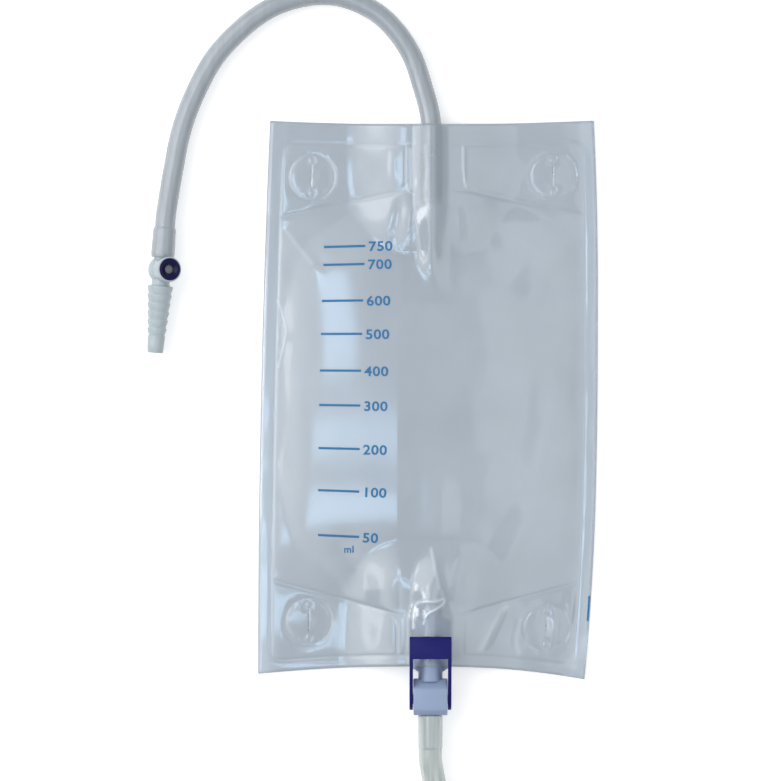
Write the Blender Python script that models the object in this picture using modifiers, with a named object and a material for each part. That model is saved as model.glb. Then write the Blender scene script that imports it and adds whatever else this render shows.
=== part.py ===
"""Urine drainage leg bag, lying flat: a welded two-sheet pouch with four strap eyelets, an inlet tube to a
catheter connector with a sampling port, a non-return valve, and a lever tap with its outlet tube.

Metres, +Z up. The table is z = 0, +Y runs towards the inlet end and +X to the right of the printed side."""

import math

import bmesh
import bpy
from mathutils import Matrix, Vector

# Films and clearances, and how far a cutter or a joined piece runs past the face it meets
FILM = 0.0003
GAP = 0.0003
OVERRUN = 0.0010

# Pouch outline, measured on the flat sheet
POUCH_LEFT = -0.0731
POUCH_RIGHT = 0.0731
POUCH_TOP = 0.1352
POUCH_BOTTOM = -0.0995
TOP_LEFT_NARROWING = 0.0052
TOP_RIGHT_NARROWING = 0.0017
BOTTOM_RIGHT_NARROWING = 0.0052
RIGHT_WIDEST_SHARE = 0.7
TOP_EDGE_SAG = 0.0018
BOTTOM_LEFT_DROP = 0.0035
BOTTOM_RIGHT_DROP = 0.0069

# Welds
SIDE_WELD_INSET = 0.0056
TOP_WELD_INSET = 0.0090
BOTTOM_WELD_INSET = 0.0048
WELD_WIDTH = 0.0020
FRAME_CORNER = 0.0055
EAR_CORNER = 0.0045
UPPER_EAR_INNER_Y = 0.1052
UPPER_EAR_SIDE_Y = 0.0935
LOWER_EAR_INNER_Y = -0.0772
LOWER_EAR_SIDE_Y = -0.0630
UPPER_NECK_LEFT = 0.0104
UPPER_NECK_RIGHT = 0.0149
LOWER_NECK_LEFT = 0.0143
LOWER_NECK_RIGHT = 0.0140

# Fullness of the sheets between the welds
POUCH_PUFF = 0.0050
POUCH_PUFF_REACH = 0.0160
POUCH_WAVE = 0.0003
WAVE_ACROSS = 0.0125
WAVE_ALONG = 0.0190
WAVE_START = 0.0040
WAVE_FULL = 0.0200
EAR_PUFF = 0.0009
EAR_PUFF_REACH = 0.0035
FLANGE_PUFF = 0.0003
FLANGE_PUFF_REACH = 0.0020
SEAM_RUN_OUT = 0.0300

# How far past the end of the tube or the spigot the sheets begin and cease to close, and their seam to sink
CLOSING_START = 0.0030
CLOSING_END = 0.0220
SINKING_START = 0.0020
SINKING_END = 0.0400

# Centres of the strap eyelets. Each is a pressed ring round a slit that runs between two small pressed rings
EYELETS = {
    "upper_left": (-0.0503, 0.1109),
    "upper_right": (0.0537, 0.1112),
    "lower_left": (-0.0515, -0.0804),
    "lower_right": (0.0508, -0.0831),
}
EYELET_RADIUS = 0.0098
EYELET_FLAT = 0.0130
EYELET_PUFF_START = 0.0170
GROOVE_WIDTH = 0.0016
GROOVE_DEPTH = 0.00010
GROOVE_STEPS = 40
SLIT_LENGTH = 0.0108
SLIT_WIDTH = 0.0006
SLIT_RING_PLACE = 0.0070
SLIT_RING_RADIUS = 0.0014
SLIT_RING_WIDTH = 0.0005
SLIT_RING_STEPS = 12

# Inlet tube
INLET_X = 0.0014
INLET_TUBE_RADIUS = 0.0043
INLET_TUBE_END_Y = 0.0995
INLET_WELD_FOOT = 0.0072
POUCH_FOOT = 0.0160

# Non-return valve
FLAP = 0.00025
FLAP_MOUTH_HALF = 0.0080
FLAP_HALF = 0.0130
FLAP_SHOULDER = 0.0140
FLAP_LENGTH = 0.0430
FLAP_CLEARANCE = 0.0007

# Catheter connector, along its axis from the end inside the tube
CONNECTOR_END = (-0.1129, 0.0897)
CONNECTOR_TURN = math.radians(4.5)
CONNECTOR_BORE = 0.0023
CONNECTOR_SPIGOT_RADIUS = 0.0037
CONNECTOR_SPIGOT_LENGTH = 0.0138
SPIGOT_LEAD = 0.0010
SPIGOT_LEAD_DEPTH = 0.0006
BULGE_RADIUS = 0.0058
BULGE_PLACE = 0.0190
BULGE_STEPS = 8
CONNECTOR_NECK_RADIUS = 0.0039
CONE_START = 0.0262
CONE_LENGTH = 0.0286
CONE_ROOT_RADIUS = 0.0056
CONE_TIP_RADIUS = 0.0034
BARB_COUNT = 6
BARB_PITCH = 0.0036
BARB_DEPTH = 0.0005
BARB_FACE = 0.0003
TIP_EDGE = 0.0004

# Stretched end of the inlet tube
INLET_CUFF_START_RADIUS = 0.0044
INLET_CUFF_RADIUS = 0.00505
CUFF_FLARE_SHARE = 0.8
CUFF_LIP = 0.0003

# Sampling port
PORT_TILT = math.radians(25)
PORT_HEIGHT = 0.0093
PORT_RADIUS = 0.0054
PORT_RING_RADIUS = 0.0047
PORT_RING_THICKNESS = 0.0013
PORT_RING_SEAT = 0.0012
PORT_RING_EDGE = 0.0005
PORT_HOLE_RADIUS = 0.0020
PORT_FUNNEL_RADIUS = 0.0032
SEPTUM_RADIUS = 0.0036
SEPTUM_THICKNESS = 0.0029
PORT_PASSAGE_RADIUS = 0.0010

# Tap body
TAP_X = 0.0010
SPIGOT_TOP_Y = -0.0712
BOAT_TOP_Y = -0.0793
BOAT_BOTTOM_Y = -0.1000
BOAT_HALF_WIDTH = 0.0089
BOAT_TIP_THICKNESS = 0.0007
BOAT_CHAMFER = 0.0018
NECK_RADIUS = 0.00525
TAP_BORE = 0.0027
BLOCK_TOP_Y = -0.1047
BLOCK_BOTTOM_Y = -0.1202
BLOCK_HALF_WIDTH = 0.0073
BLOCK_HALF_DEPTH = 0.0066
BLOCK_TOP_CHAMFER = 0.0040
BLOCK_BOTTOM_CHAMFER = 0.0022
OUTLET_SPIGOT_RADIUS = 0.0037
OUTLET_SPIGOT_LENGTH = 0.0150

# Tap barrel and lever
PIVOT_Y = -0.1135
PLUG_RADIUS = 0.0040
PLUG_GAP = 0.0003
PLUG_BORE = 0.0022
DRIVE_RADIUS = 0.0024
LEVER_HALF_WIDTH = 0.0090
LEVER_SIDE_GAP = 0.0002
LEVER_BOSS_RADIUS = 0.0047
LEVER_REACH = 0.0271
LEVER_BAR_LENGTH = 0.0095
LEVER_BAR_THICKNESS = 0.0022
LEVER_ARM_CLEAR_Z = 0.0029
LEVER_EDGE = 0.0005

# Outlet tube
OUTLET_TUBE_RADIUS = 0.0050
OUTLET_CUFF_RADIUS = 0.00525
OUTLET_CUFF_STEP = 0.0020

# Straight run of a hose off its spigot
HOSE_LEAD = 0.0040

# Mesh steps
TURN_STEPS = 24
SIDE_CELLS = 7
EAR_CELLS = 4
POUCH_CELLS = 16
FLAP_CELLS = 12
BOSS_STEPS = 12
INLET_STEPS = 30
OUTLET_STEPS = 14

# Places worked out from the sizes above
BOAT_FOOT = BOAT_HALF_WIDTH + BOAT_TIP_THICKNESS
INLET_Z = FILM + GAP + INLET_TUBE_RADIUS
TAP_Z = BLOCK_HALF_DEPTH
CONNECTOR_Z = BULGE_RADIUS
SEAM_Z = FILM + GAP / 2
LEVER_BAR_Z = NECK_RADIUS + GAP + FILM + 2 * GAP
OUTLET_END_Y = BLOCK_BOTTOM_Y - OUTLET_SPIGOT_LENGTH

INLET_ROUTE = [
    (INLET_X, INLET_TUBE_END_Y, INLET_Z),
    (INLET_X, 0.1190, INLET_Z),
    (0.0013, 0.1345, INLET_Z),
    (-0.0019, 0.1481, 0.0046),
    (-0.0082, 0.1653, INLET_TUBE_RADIUS),
    (-0.0206, 0.1802, INLET_TUBE_RADIUS),
    (-0.0378, 0.1881, INLET_TUBE_RADIUS),
    (-0.0550, 0.1877, INLET_TUBE_RADIUS),
    (-0.0722, 0.1806, INLET_TUBE_RADIUS),
    (-0.0894, 0.1649, INLET_TUBE_RADIUS),
    (-0.0994, 0.1480, INLET_TUBE_RADIUS),
    (-0.1059, 0.1309, 0.0044),
    (-0.1094, 0.1137, 0.0050),
    (-0.1117, 0.1000, 0.0056),
]
OUTLET_ROUTE = [
    (0.0016, -0.1435, 0.0063),
    (0.0035, -0.1530, 0.0056),
    (0.0068, -0.1645, OUTLET_TUBE_RADIUS),
    (0.0108, -0.1760, OUTLET_TUBE_RADIUS),
    (0.0146, -0.1880, OUTLET_TUBE_RADIUS),
    (0.0170, -0.1985, OUTLET_TUBE_RADIUS),
]


def clear_scene():
    for obj in list(bpy.data.objects):
        bpy.data.objects.remove(obj, do_unlink=True)


def new_collection(name):
    collection = bpy.data.collections.new(name)
    bpy.context.scene.collection.children.link(collection)
    return collection


def new_material(name, colour, roughness, alpha=1.0):
    made = bpy.data.materials.new(name)
    made.use_nodes = True
    shader = made.node_tree.nodes["Principled BSDF"]
    shader.inputs["Base Color"].default_value = (*colour, 1.0)
    shader.inputs["Roughness"].default_value = roughness
    shader.inputs["Metallic"].default_value = 0.0
    shader.inputs["Alpha"].default_value = alpha
    return made


def new_object(name, data, collection, material=None):
    obj = bpy.data.objects.new(name, data)
    collection.objects.link(obj)
    if material:
        data.materials.append(material)
    return obj


def mesh_object(name, bm, collection, material=None):
    """The bmesh as an object, with its faces turned outwards and its round sides shaded smooth."""
    bmesh.ops.recalc_face_normals(bm, faces=bm.faces)
    mesh = bpy.data.meshes.new(name)
    bm.to_mesh(mesh)
    bm.free()
    mesh.shade_smooth()
    mesh.set_sharp_from_angle(angle=math.radians(35))
    return new_object(name, mesh, collection, material)


def as_cutter(obj):
    obj.hide_render = True
    obj.display_type = "WIRE"
    return obj


def combine(obj, other, operation):
    modifier = obj.modifiers.new(f"{operation.lower()} {other.name}", "BOOLEAN")
    modifier.operation = operation
    modifier.solver = "EXACT"
    modifier.object = other


def add_prism(bm, outline, low, high, place):
    """A closed prism on the outline, with place(u, v, w) giving a corner its position for w from low to high."""
    bottom = [bm.verts.new(place(u, v, low)) for u, v in outline]
    face = bm.faces.new(bottom)
    made = bmesh.ops.extrude_face_region(bm, geom=[face])
    top = [v for v in made["geom"] if isinstance(v, bmesh.types.BMVert)]
    shift = Vector(place(0, 0, high)) - Vector(place(0, 0, low))
    bmesh.ops.translate(bm, verts=top, vec=shift)
    return top


def prism(name, outline, low, high, place, collection, material=None):
    bm = bmesh.new()
    add_prism(bm, outline, low, high, place)
    return mesh_object(name, bm, collection, material)


def rod(name, radius, low, high, frame, collection, material=None, steps=TURN_STEPS):
    """A cylinder along the frame's own z axis, from low to high."""
    bm = bmesh.new()
    bmesh.ops.create_cone(
        bm, cap_ends=True, segments=steps, radius1=radius, radius2=radius, depth=high - low
    )
    bmesh.ops.translate(bm, verts=bm.verts, vec=(0, 0, (low + high) / 2))
    bmesh.ops.transform(bm, matrix=frame, verts=bm.verts)
    return mesh_object(name, bm, collection, material)


def turned(name, profile, frame, collection, material=None, steps=TURN_STEPS):
    """A ring-shaped solid: the closed profile of (radius, height) turned about the frame's z axis."""
    bm = bmesh.new()
    points = [bm.verts.new((radius, 0, height)) for radius, height in profile]
    for pair in zip(points, points[1:] + points[:1]):
        bm.edges.new(pair)
    mesh = bpy.data.meshes.new(name)
    bm.to_mesh(mesh)
    bm.free()
    obj = new_object(name, mesh, collection, material)
    obj.matrix_world = frame
    screw = obj.modifiers.new("turn", "SCREW")
    screw.axis = "Z"
    screw.steps = steps
    screw.render_steps = steps
    screw.use_merge_vertices = True
    screw.merge_threshold = 1e-6
    screw.use_smooth_shade = True
    return obj


def axis_frame(origin, direction):
    turn = Vector(direction).to_track_quat("Z", "Y").to_matrix().to_4x4()
    return Matrix.Translation(origin) @ turn


def smooth_route(route, count):
    """Points evenly numbered along a smooth curve through the route's points."""
    points = [Vector(p) for p in route]
    points = [2 * points[0] - points[1], *points, 2 * points[-1] - points[-2]]
    spans = len(points) - 3
    found = []
    for step in range(count + 1):
        place = step / count * spans
        k = min(int(place), spans - 1)
        t = place - k
        a, b, c, d = points[k : k + 4]
        bend = (2 * a - 5 * b + 4 * c - d) * t * t + (3 * b - a - 3 * c + d) * t**3
        found.append((2 * b + (c - a) * t + bend) / 2)
    return found


def hose(name, route, count, radius, collection, material):
    """A plain round hose along the route, as a curve with filled ends."""
    curve = bpy.data.curves.new(name, "CURVE")
    curve.dimensions = "3D"
    curve.bevel_depth = radius
    curve.bevel_resolution = 3
    curve.use_fill_caps = True
    spline = curve.splines.new("POLY")
    points = smooth_route(route, count)
    spline.points.add(len(points) - 1)
    for point, place in zip(spline.points, points):
        point.co = (place.x, place.y, max(place.z, radius), 1)
    return new_object(name, curve, collection, material)


def eased(low, high, value):
    """0 at low and 1 at high, with a smooth run between them."""
    share = min(max((value - low) / (high - low), 0.0), 1.0)
    return share * share * (3 - 2 * share)


def rounded_least(a, b, radius):
    """The lesser of two distances from two edges, with their corner rounded."""
    if a < radius and b < radius:
        return radius - math.hypot(radius - a, radius - b)
    return min(a, b)


def height_share(y):
    return (y - POUCH_BOTTOM) / (POUCH_TOP - POUCH_BOTTOM)


def left_edge(y):
    return POUCH_LEFT + TOP_LEFT_NARROWING * max(height_share(y), 0) ** 2


def right_edge(y):
    share = height_share(y) - RIGHT_WIDEST_SHARE
    if share > 0:
        return POUCH_RIGHT - TOP_RIGHT_NARROWING * (share / (1 - RIGHT_WIDEST_SHARE)) ** 2
    return POUCH_RIGHT - BOTTOM_RIGHT_NARROWING * (-share / RIGHT_WIDEST_SHARE) ** 3


def top_edge(x):
    return POUCH_TOP - TOP_EDGE_SAG * (1 - min((x / POUCH_RIGHT) ** 2, 1))


def bottom_edge(x):
    if x < 0:
        return POUCH_BOTTOM - BOTTOM_LEFT_DROP * (x / POUCH_LEFT) ** 2
    return POUCH_BOTTOM - BOTTOM_RIGHT_DROP * (x / POUCH_RIGHT) ** 2


def ear_slope(x, inner_y, side_y, left, right):
    """The sloping weld under or over an ear: level across the neck, then straight to the side weld."""
    outside = max(-left - x, x - right, 0)
    run = POUCH_RIGHT - SIDE_WELD_INSET - (left + right) / 2
    return inner_y + (side_y - inner_y) * min(outside / run, 1)


def upper_ear_line(x):
    return ear_slope(
        x - INLET_X, UPPER_EAR_INNER_Y, UPPER_EAR_SIDE_Y, UPPER_NECK_LEFT, UPPER_NECK_RIGHT
    )


def lower_ear_line(x):
    return ear_slope(
        x - TAP_X, LOWER_EAR_INNER_Y, LOWER_EAR_SIDE_Y, LOWER_NECK_LEFT, LOWER_NECK_RIGHT
    )


def axis_x(y):
    """The line from the tap's axis to the inlet tube's."""
    share = eased(SPIGOT_TOP_Y, INLET_TUBE_END_Y, y)
    return TAP_X + (INLET_X - TAP_X) * share


def between(low, high, y):
    """A size that changes from the tap end to the inlet end of the pouch."""
    return low + (high - low) * eased(SPIGOT_TOP_Y, INLET_TUBE_END_Y, y)


def tent(away, radius, foot):
    """Half the thickness of a sheet pulled over a round bar: round at the top, then straight to its foot."""
    touch = radius**2 / foot
    if away < touch:
        return math.sqrt(radius**2 - away**2)
    top = radius * math.sqrt(1 - (radius / foot) ** 2)
    return max(top * (foot - away) / (foot - touch), 0)


def inlet_foot():
    return INLET_WELD_FOOT * (INLET_TUBE_RADIUS + GAP) / INLET_TUBE_RADIUS


def tap_foot():
    return BOAT_FOOT * (NECK_RADIUS + GAP) / NECK_RADIUS


def insert_fullness(x, y):
    """How far the tube or the tap's spigot holds the sheets apart."""
    away = abs(x - axis_x(y))
    if y > 0:
        free = eased(UPPER_EAR_INNER_Y, INLET_TUBE_END_Y, y)
        foot = inlet_foot() + (POUCH_FOOT - inlet_foot()) * free
        held = 1 - eased(INLET_TUBE_END_Y - CLOSING_START, INLET_TUBE_END_Y - CLOSING_END, y)
        return 2 * held * tent(away, INLET_TUBE_RADIUS + GAP, foot)
    free = eased(BOAT_TOP_Y, SPIGOT_TOP_Y, y)
    foot = tap_foot() + (POUCH_FOOT - tap_foot()) * free
    held = 1 - eased(SPIGOT_TOP_Y + CLOSING_START, SPIGOT_TOP_Y + CLOSING_END, y)
    return 2 * held * tent(away, NECK_RADIUS + GAP, foot)


def ear_fullness(x, y, frame, past_line, beside_neck):
    edge = min(frame, rounded_least(beside_neck, past_line, EAR_CORNER)) - WELD_WIDTH / 2
    if beside_neck < 0 or edge < 0:
        return 0.0
    eyelet = min(math.dist((x, y), centre) for centre in EYELETS.values())
    clear = eased(EYELET_FLAT, EYELET_PUFF_START, eyelet)
    return EAR_PUFF * (1 - math.exp(-edge / EAR_PUFF_REACH)) * clear


def fullness(x, y):
    """How far the sheets stand apart between the welds, apart from what the tube and the tap hold open."""
    sides = min(x - left_edge(y), right_edge(y) - x) - SIDE_WELD_INSET
    ends = min(top_edge(x) - y - TOP_WELD_INSET, y - bottom_edge(x) - BOTTOM_WELD_INSET)
    frame = rounded_least(sides, ends, FRAME_CORNER)
    if frame < WELD_WIDTH / 2:
        outside = max(-frame - WELD_WIDTH / 2, 0)
        return FLANGE_PUFF * (1 - math.exp(-outside / FLANGE_PUFF_REACH))
    above = y - upper_ear_line(x)
    below = lower_ear_line(x) - y
    if above > 0:
        from_axis = x - INLET_X
        beside = max(-from_axis - UPPER_NECK_LEFT, from_axis - UPPER_NECK_RIGHT)
        return ear_fullness(x, y, frame, above, beside)
    if below > 0:
        from_axis = x - TAP_X
        beside = max(-from_axis - LOWER_NECK_LEFT, from_axis - LOWER_NECK_RIGHT)
        return ear_fullness(x, y, frame, below, beside)
    edge = max(min(frame, -above, -below) - WELD_WIDTH / 2, 0)
    full = POUCH_PUFF * (1 - math.exp(-edge / POUCH_PUFF_REACH))
    wave = math.sin(x / WAVE_ACROSS + math.sin(y / WAVE_ALONG)) + math.sin(y / WAVE_ALONG)
    return full + POUCH_WAVE * wave * eased(WAVE_START, WAVE_FULL, edge)


def seam_height(x, y):
    """The height of the plane in which the sheets meet: up at the tube and the tap, and down elsewhere."""
    away = abs(x - axis_x(y))
    if y > 0:
        raised = INLET_Z - SEAM_Z
        foot = inlet_foot()
        along = eased(INLET_TUBE_END_Y - SINKING_END, INLET_TUBE_END_Y - SINKING_START, y)
    else:
        raised = TAP_Z - SEAM_Z
        foot = tap_foot()
        along = eased(SPIGOT_TOP_Y + SINKING_END, SPIGOT_TOP_Y + SINKING_START, y)
    return SEAM_Z + raised * along * (1 - eased(foot, foot + SEAM_RUN_OUT, away))


def sheet_heights(x, y):
    """The middle of the back sheet and of the front sheet over a point of the table."""
    puff = max(fullness(x, y), 0)
    apart = FILM + GAP + math.hypot(puff, max(insert_fullness(x, y) - GAP, 0))
    back = max(FILM / 2, seam_height(x, y) - apart / 2)
    return back, back + apart


def spread(low, high, count, crowd=0.0):
    """Places after low and before high, closer together near both ends as crowd goes from 0 to 1."""
    found = []
    for step in range(1, count):
        share = step / count
        crowded = (1 - math.cos(math.pi * share)) / 2
        found.append(low + (high - low) * (share + crowd * (crowded - share)))
    return found


def columns(y):
    """The places across the sheet at height y that its grid follows."""
    left, right, axis = left_edge(y), right_edge(y), axis_x(y)
    weld = [SIDE_WELD_INSET + side * WELD_WIDTH / 2 for side in (-1, 1)]
    radius = between(NECK_RADIUS, INLET_TUBE_RADIUS, y) + GAP
    foot = between(tap_foot(), inlet_foot(), y)
    touch = radius**2 / foot
    steps = [touch / 2, touch, (touch + foot) / 2, foot]
    neck_left = axis - between(LOWER_NECK_LEFT, UPPER_NECK_LEFT, y)
    neck_right = axis + between(LOWER_NECK_RIGHT, UPPER_NECK_RIGHT, y)
    outer_left = [left, left + weld[0] / 2, left + weld[0], left + weld[1]]
    outer_right = [right - weld[1], right - weld[0], right - weld[0] / 2, right]
    middle = [axis - step for step in reversed(steps)] + [axis] + [axis + step for step in steps]
    fill_left = spread(outer_left[-1], neck_left, SIDE_CELLS)
    fill_right = spread(neck_right, outer_right[0], SIDE_CELLS)
    return outer_left + fill_left + [neck_left] + middle + [neck_right] + fill_right + outer_right


def rows(x):
    """The places along the sheet at x that its grid follows."""
    top, bottom, half = top_edge(x), bottom_edge(x), WELD_WIDTH / 2
    upper, lower = upper_ear_line(x), lower_ear_line(x)
    low = [bottom, bottom + BOTTOM_WELD_INSET - half, bottom + BOTTOM_WELD_INSET + half]
    high = [top - TOP_WELD_INSET - half, top - TOP_WELD_INSET + half, top - TOP_WELD_INSET / 2, top]
    low_ear = spread(low[-1], lower - half, EAR_CELLS)
    high_ear = spread(upper + half, high[0], EAR_CELLS)
    pouch = spread(lower + half, upper - half, POUCH_CELLS, 0.5)
    low += low_ear + [lower - half, lower + half]
    return low + pouch + [upper - half, upper + half] + high_ear + high


def film_sheet(name, which, collection, material):
    """One sheet of the pouch. Its grid is laid along the welds, then raised to the sheet's height."""
    wide, tall = len(columns(0)) - 1, len(rows(0)) - 1
    bm = bmesh.new()
    bmesh.ops.create_grid(bm, x_segments=wide, y_segments=tall, size=1)
    for vert in bm.verts:
        i = round((vert.co.x + 1) / 2 * wide)
        j = round((vert.co.y + 1) / 2 * tall)
        x, y = columns(0)[i], 0
        for _ in range(3):
            y = rows(x)[j]
            x = columns(y)[i]
        vert.co = (x, y, sheet_heights(x, y)[which])
    sheet = mesh_object(name, bm, collection, material)
    wall = sheet.modifiers.new("film", "SOLIDIFY")
    wall.thickness = FILM
    wall.offset = 0
    return sheet


def slit_outline():
    """A strap slit: a long narrow hexagon, pointed at both ends."""
    half, reach = SLIT_WIDTH / 2, SLIT_LENGTH / 2
    side = [(half, half - reach), (half, reach - half), (0, reach)]
    return side + [(-u, -v) for u, v in side]


def pressed_ring(name, centre, radius, width, steps, collection):
    """The cutter of a shallow round groove in the top of the front sheet."""
    x, y = centre
    bottom = sheet_heights(x, y)[1] + FILM / 2 - GROOVE_DEPTH
    top = bottom + OVERRUN
    inner, outer = radius - width / 2, radius + width / 2
    profile = [(inner, bottom), (inner, top), (outer, top), (outer, bottom)]
    return as_cutter(turned(name, profile, Matrix.Translation((x, y, 0)), collection, steps=steps))


def press_eyelet(front, name, centre, cutters):
    """Presses an eyelet's ring and the two small rings at the ends of its slit."""
    ring = pressed_ring(f"{name} ring", centre, EYELET_RADIUS, GROOVE_WIDTH, GROOVE_STEPS, cutters)
    combine(front, ring, "DIFFERENCE")
    for end, side in {"upper": 1, "lower": -1}.items():
        place = (centre[0], centre[1] + side * SLIT_RING_PLACE)
        small = pressed_ring(
            f"{name} {end} end", place, SLIT_RING_RADIUS, SLIT_RING_WIDTH, SLIT_RING_STEPS, cutters
        )
        combine(front, small, "DIFFERENCE")


def build_pouch(parts, cutters, clear_film, plain_film):
    front = film_sheet("front_film", 1, parts, clear_film)
    back = film_sheet("back_film", 0, parts, plain_film)
    for name, centre in EYELETS.items():
        x, y = centre

        def place(u, v, w, x=x, y=y):
            return (x + u, y + v, w)

        low, high = -2 * OVERRUN, BLOCK_HALF_DEPTH
        slit = as_cutter(prism(f"{name} slit", slit_outline(), low, high, place, cutters))
        combine(front, slit, "DIFFERENCE")
        combine(back, slit, "DIFFERENCE")
        press_eyelet(front, name, centre, cutters)


def valve_flap(name, which, collection, material):
    """One flap of the non-return valve: open round the tube's end, and shut flat at its free end."""
    top = INLET_TUBE_END_Y - GAP
    bm = bmesh.new()
    bmesh.ops.create_grid(bm, x_segments=FLAP_CELLS, y_segments=FLAP_CELLS, size=1)
    for vert in bm.verts:
        across, share = vert.co.x, (1 - vert.co.y) / 2
        y = top - share * FLAP_LENGTH
        half = FLAP_MOUTH_HALF + (FLAP_HALF - FLAP_MOUTH_HALF) * eased(0, FLAP_SHOULDER, top - y)
        x = INLET_X + across * half
        back, front = sheet_heights(x, y)
        low = back + FILM / 2 + FLAP_CLEARANCE + FLAP / 2
        closed = low + FLAP + GAP
        high = front - FILM / 2 - FLAP_CLEARANCE - FLAP / 2
        held_open = (1 - eased(0, 0.9, share)) * (1 - across**2)
        vert.co = (x, y, low if which == 0 else closed + (high - closed) * held_open)
    flap = mesh_object(name, bm, collection, material)
    wall = flap.modifiers.new("flap", "SOLIDIFY")
    wall.thickness = FLAP
    wall.offset = 0
    return flap


def connector_frame():
    direction = (-math.sin(CONNECTOR_TURN), -math.cos(CONNECTOR_TURN), 0)
    return axis_frame((*CONNECTOR_END, CONNECTOR_Z), direction)


def connector_profile():
    """The connector's outer side from its spigot to its tip, then back up the bore."""
    outer = [(CONNECTOR_SPIGOT_RADIUS - SPIGOT_LEAD_DEPTH, 0.0), (CONNECTOR_SPIGOT_RADIUS, SPIGOT_LEAD)]
    start = -math.sqrt(BULGE_RADIUS**2 - CONNECTOR_SPIGOT_RADIUS**2)
    end = math.sqrt(BULGE_RADIUS**2 - CONNECTOR_NECK_RADIUS**2)
    for step in range(BULGE_STEPS + 1):
        along = start + (end - start) * step / BULGE_STEPS
        outer.append((math.sqrt(BULGE_RADIUS**2 - along**2), BULGE_PLACE + along))
    outer.append((CONNECTOR_NECK_RADIUS, CONE_START - BARB_FACE))

    def cone(along):
        return CONE_ROOT_RADIUS + (CONE_TIP_RADIUS - CONE_ROOT_RADIUS) * along / CONE_LENGTH

    for barb in range(BARB_COUNT):
        along, after = barb * BARB_PITCH, (barb + 1) * BARB_PITCH
        outer.append((cone(along), CONE_START + along))
        outer.append((cone(after) - BARB_DEPTH, CONE_START + after - BARB_FACE))
    outer.append((cone(BARB_COUNT * BARB_PITCH), CONE_START + BARB_COUNT * BARB_PITCH))
    end = CONE_START + CONE_LENGTH
    outer.append((CONE_TIP_RADIUS, end - TIP_EDGE))
    outer.append((CONE_TIP_RADIUS - TIP_EDGE, end))
    return outer + [(CONNECTOR_BORE, end), (CONNECTOR_BORE, 0.0)]


def port_frame():
    centre = connector_frame() @ Vector((0, 0, BULGE_PLACE))
    return axis_frame(centre, (math.sin(PORT_TILT), 0, math.cos(PORT_TILT)))


def build_connector(parts, cutters, moulded, ring_plastic, rubber):
    body = turned("connector_body", connector_profile()[::-1], connector_frame(), parts, moulded)
    port = port_frame()
    seat = PORT_HEIGHT - PORT_RING_SEAT
    pocket = seat - SEPTUM_THICKNESS - 2 * GAP
    boss = rod("port boss", PORT_RADIUS, 0, PORT_HEIGHT, port, cutters)
    above = PORT_HEIGHT + OVERRUN
    ring_seat = rod("ring seat", PORT_RING_RADIUS + GAP, seat, above + OVERRUN, port, cutters)
    septum_seat = rod("septum seat", SEPTUM_RADIUS + GAP, pocket, above, port, cutters)
    passage = rod("port passage", PORT_PASSAGE_RADIUS, 0, pocket + OVERRUN, port, cutters)
    bore = rod("connector bore", CONNECTOR_BORE, -OVERRUN, CONE_START, connector_frame(), cutters)
    combine(body, as_cutter(boss), "UNION")
    for cut in (ring_seat, septum_seat, passage, bore):
        combine(body, as_cutter(cut), "DIFFERENCE")
    rod("port_septum", SEPTUM_RADIUS, pocket + GAP, seat - GAP, port, parts, rubber)
    low, high = seat, seat + PORT_RING_THICKNESS
    ring = [
        (PORT_RING_RADIUS, low + GAP),
        (PORT_HOLE_RADIUS, low + GAP),
        (PORT_FUNNEL_RADIUS, high),
        (PORT_RING_RADIUS - PORT_RING_EDGE, high),
        (PORT_RING_RADIUS, high - PORT_RING_EDGE),
    ]
    turned("port_ring", ring, port, parts, ring_plastic, steps=32)


def build_inlet_tube(parts, tube_plastic):
    frame = connector_frame()
    end = frame @ Vector((0, 0, -GAP))
    lead = frame @ Vector((0, 0, -HOSE_LEAD))
    route = [*INLET_ROUTE, tuple(lead), tuple(end)]
    hose("inlet_tube", route, INLET_STEPS, INLET_TUBE_RADIUS, parts, tube_plastic)
    inner = CONNECTOR_SPIGOT_RADIUS + GAP
    length = CONNECTOR_SPIGOT_LENGTH - GAP
    cuff = [
        (INLET_CUFF_START_RADIUS, 0),
        (INLET_CUFF_RADIUS, length * CUFF_FLARE_SHARE),
        (INLET_CUFF_RADIUS - CUFF_LIP, length),
        (inner, length),
        (inner, 0),
    ]
    turned("inlet_cuff", cuff[::-1], frame, parts, tube_plastic)


def boat_outline():
    """The end view of the weld boat: a round middle with straight flanks down to thin tips."""
    slope = NECK_RADIUS / BOAT_FOOT
    touch = NECK_RADIUS * slope
    arc = [touch * step / 3 for step in range(-3, 4)]
    upper = [(x, math.sqrt(NECK_RADIUS**2 - x**2)) for x in arc]
    tip = tent(BOAT_HALF_WIDTH, NECK_RADIUS, BOAT_FOOT)
    upper = [(-BOAT_HALF_WIDTH, tip), *upper, (BOAT_HALF_WIDTH, tip)]
    return upper + [(x, -z) for x, z in reversed(upper)]


def block_outline():
    """The side view of the valve block, with its sloping shoulders at front and back."""
    deep, top, low = BLOCK_HALF_DEPTH, BLOCK_TOP_CHAMFER, BLOCK_BOTTOM_CHAMFER
    return [
        (BLOCK_TOP_Y, deep - top),
        (BLOCK_TOP_Y - top, deep),
        (BLOCK_BOTTOM_Y + low, deep),
        (BLOCK_BOTTOM_Y, deep - low),
        (BLOCK_BOTTOM_Y, low - deep),
        (BLOCK_BOTTOM_Y + low, -deep),
        (BLOCK_TOP_Y - top, -deep),
        (BLOCK_TOP_Y, top - deep),
    ]


def tap_axis_frame():
    """z runs along the tap, from the outlet towards the pouch."""
    return axis_frame((TAP_X, 0, TAP_Z), (0, 1, 0))


def pivot_frame():
    return axis_frame((TAP_X, PIVOT_Y, TAP_Z), (1, 0, 0))


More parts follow.
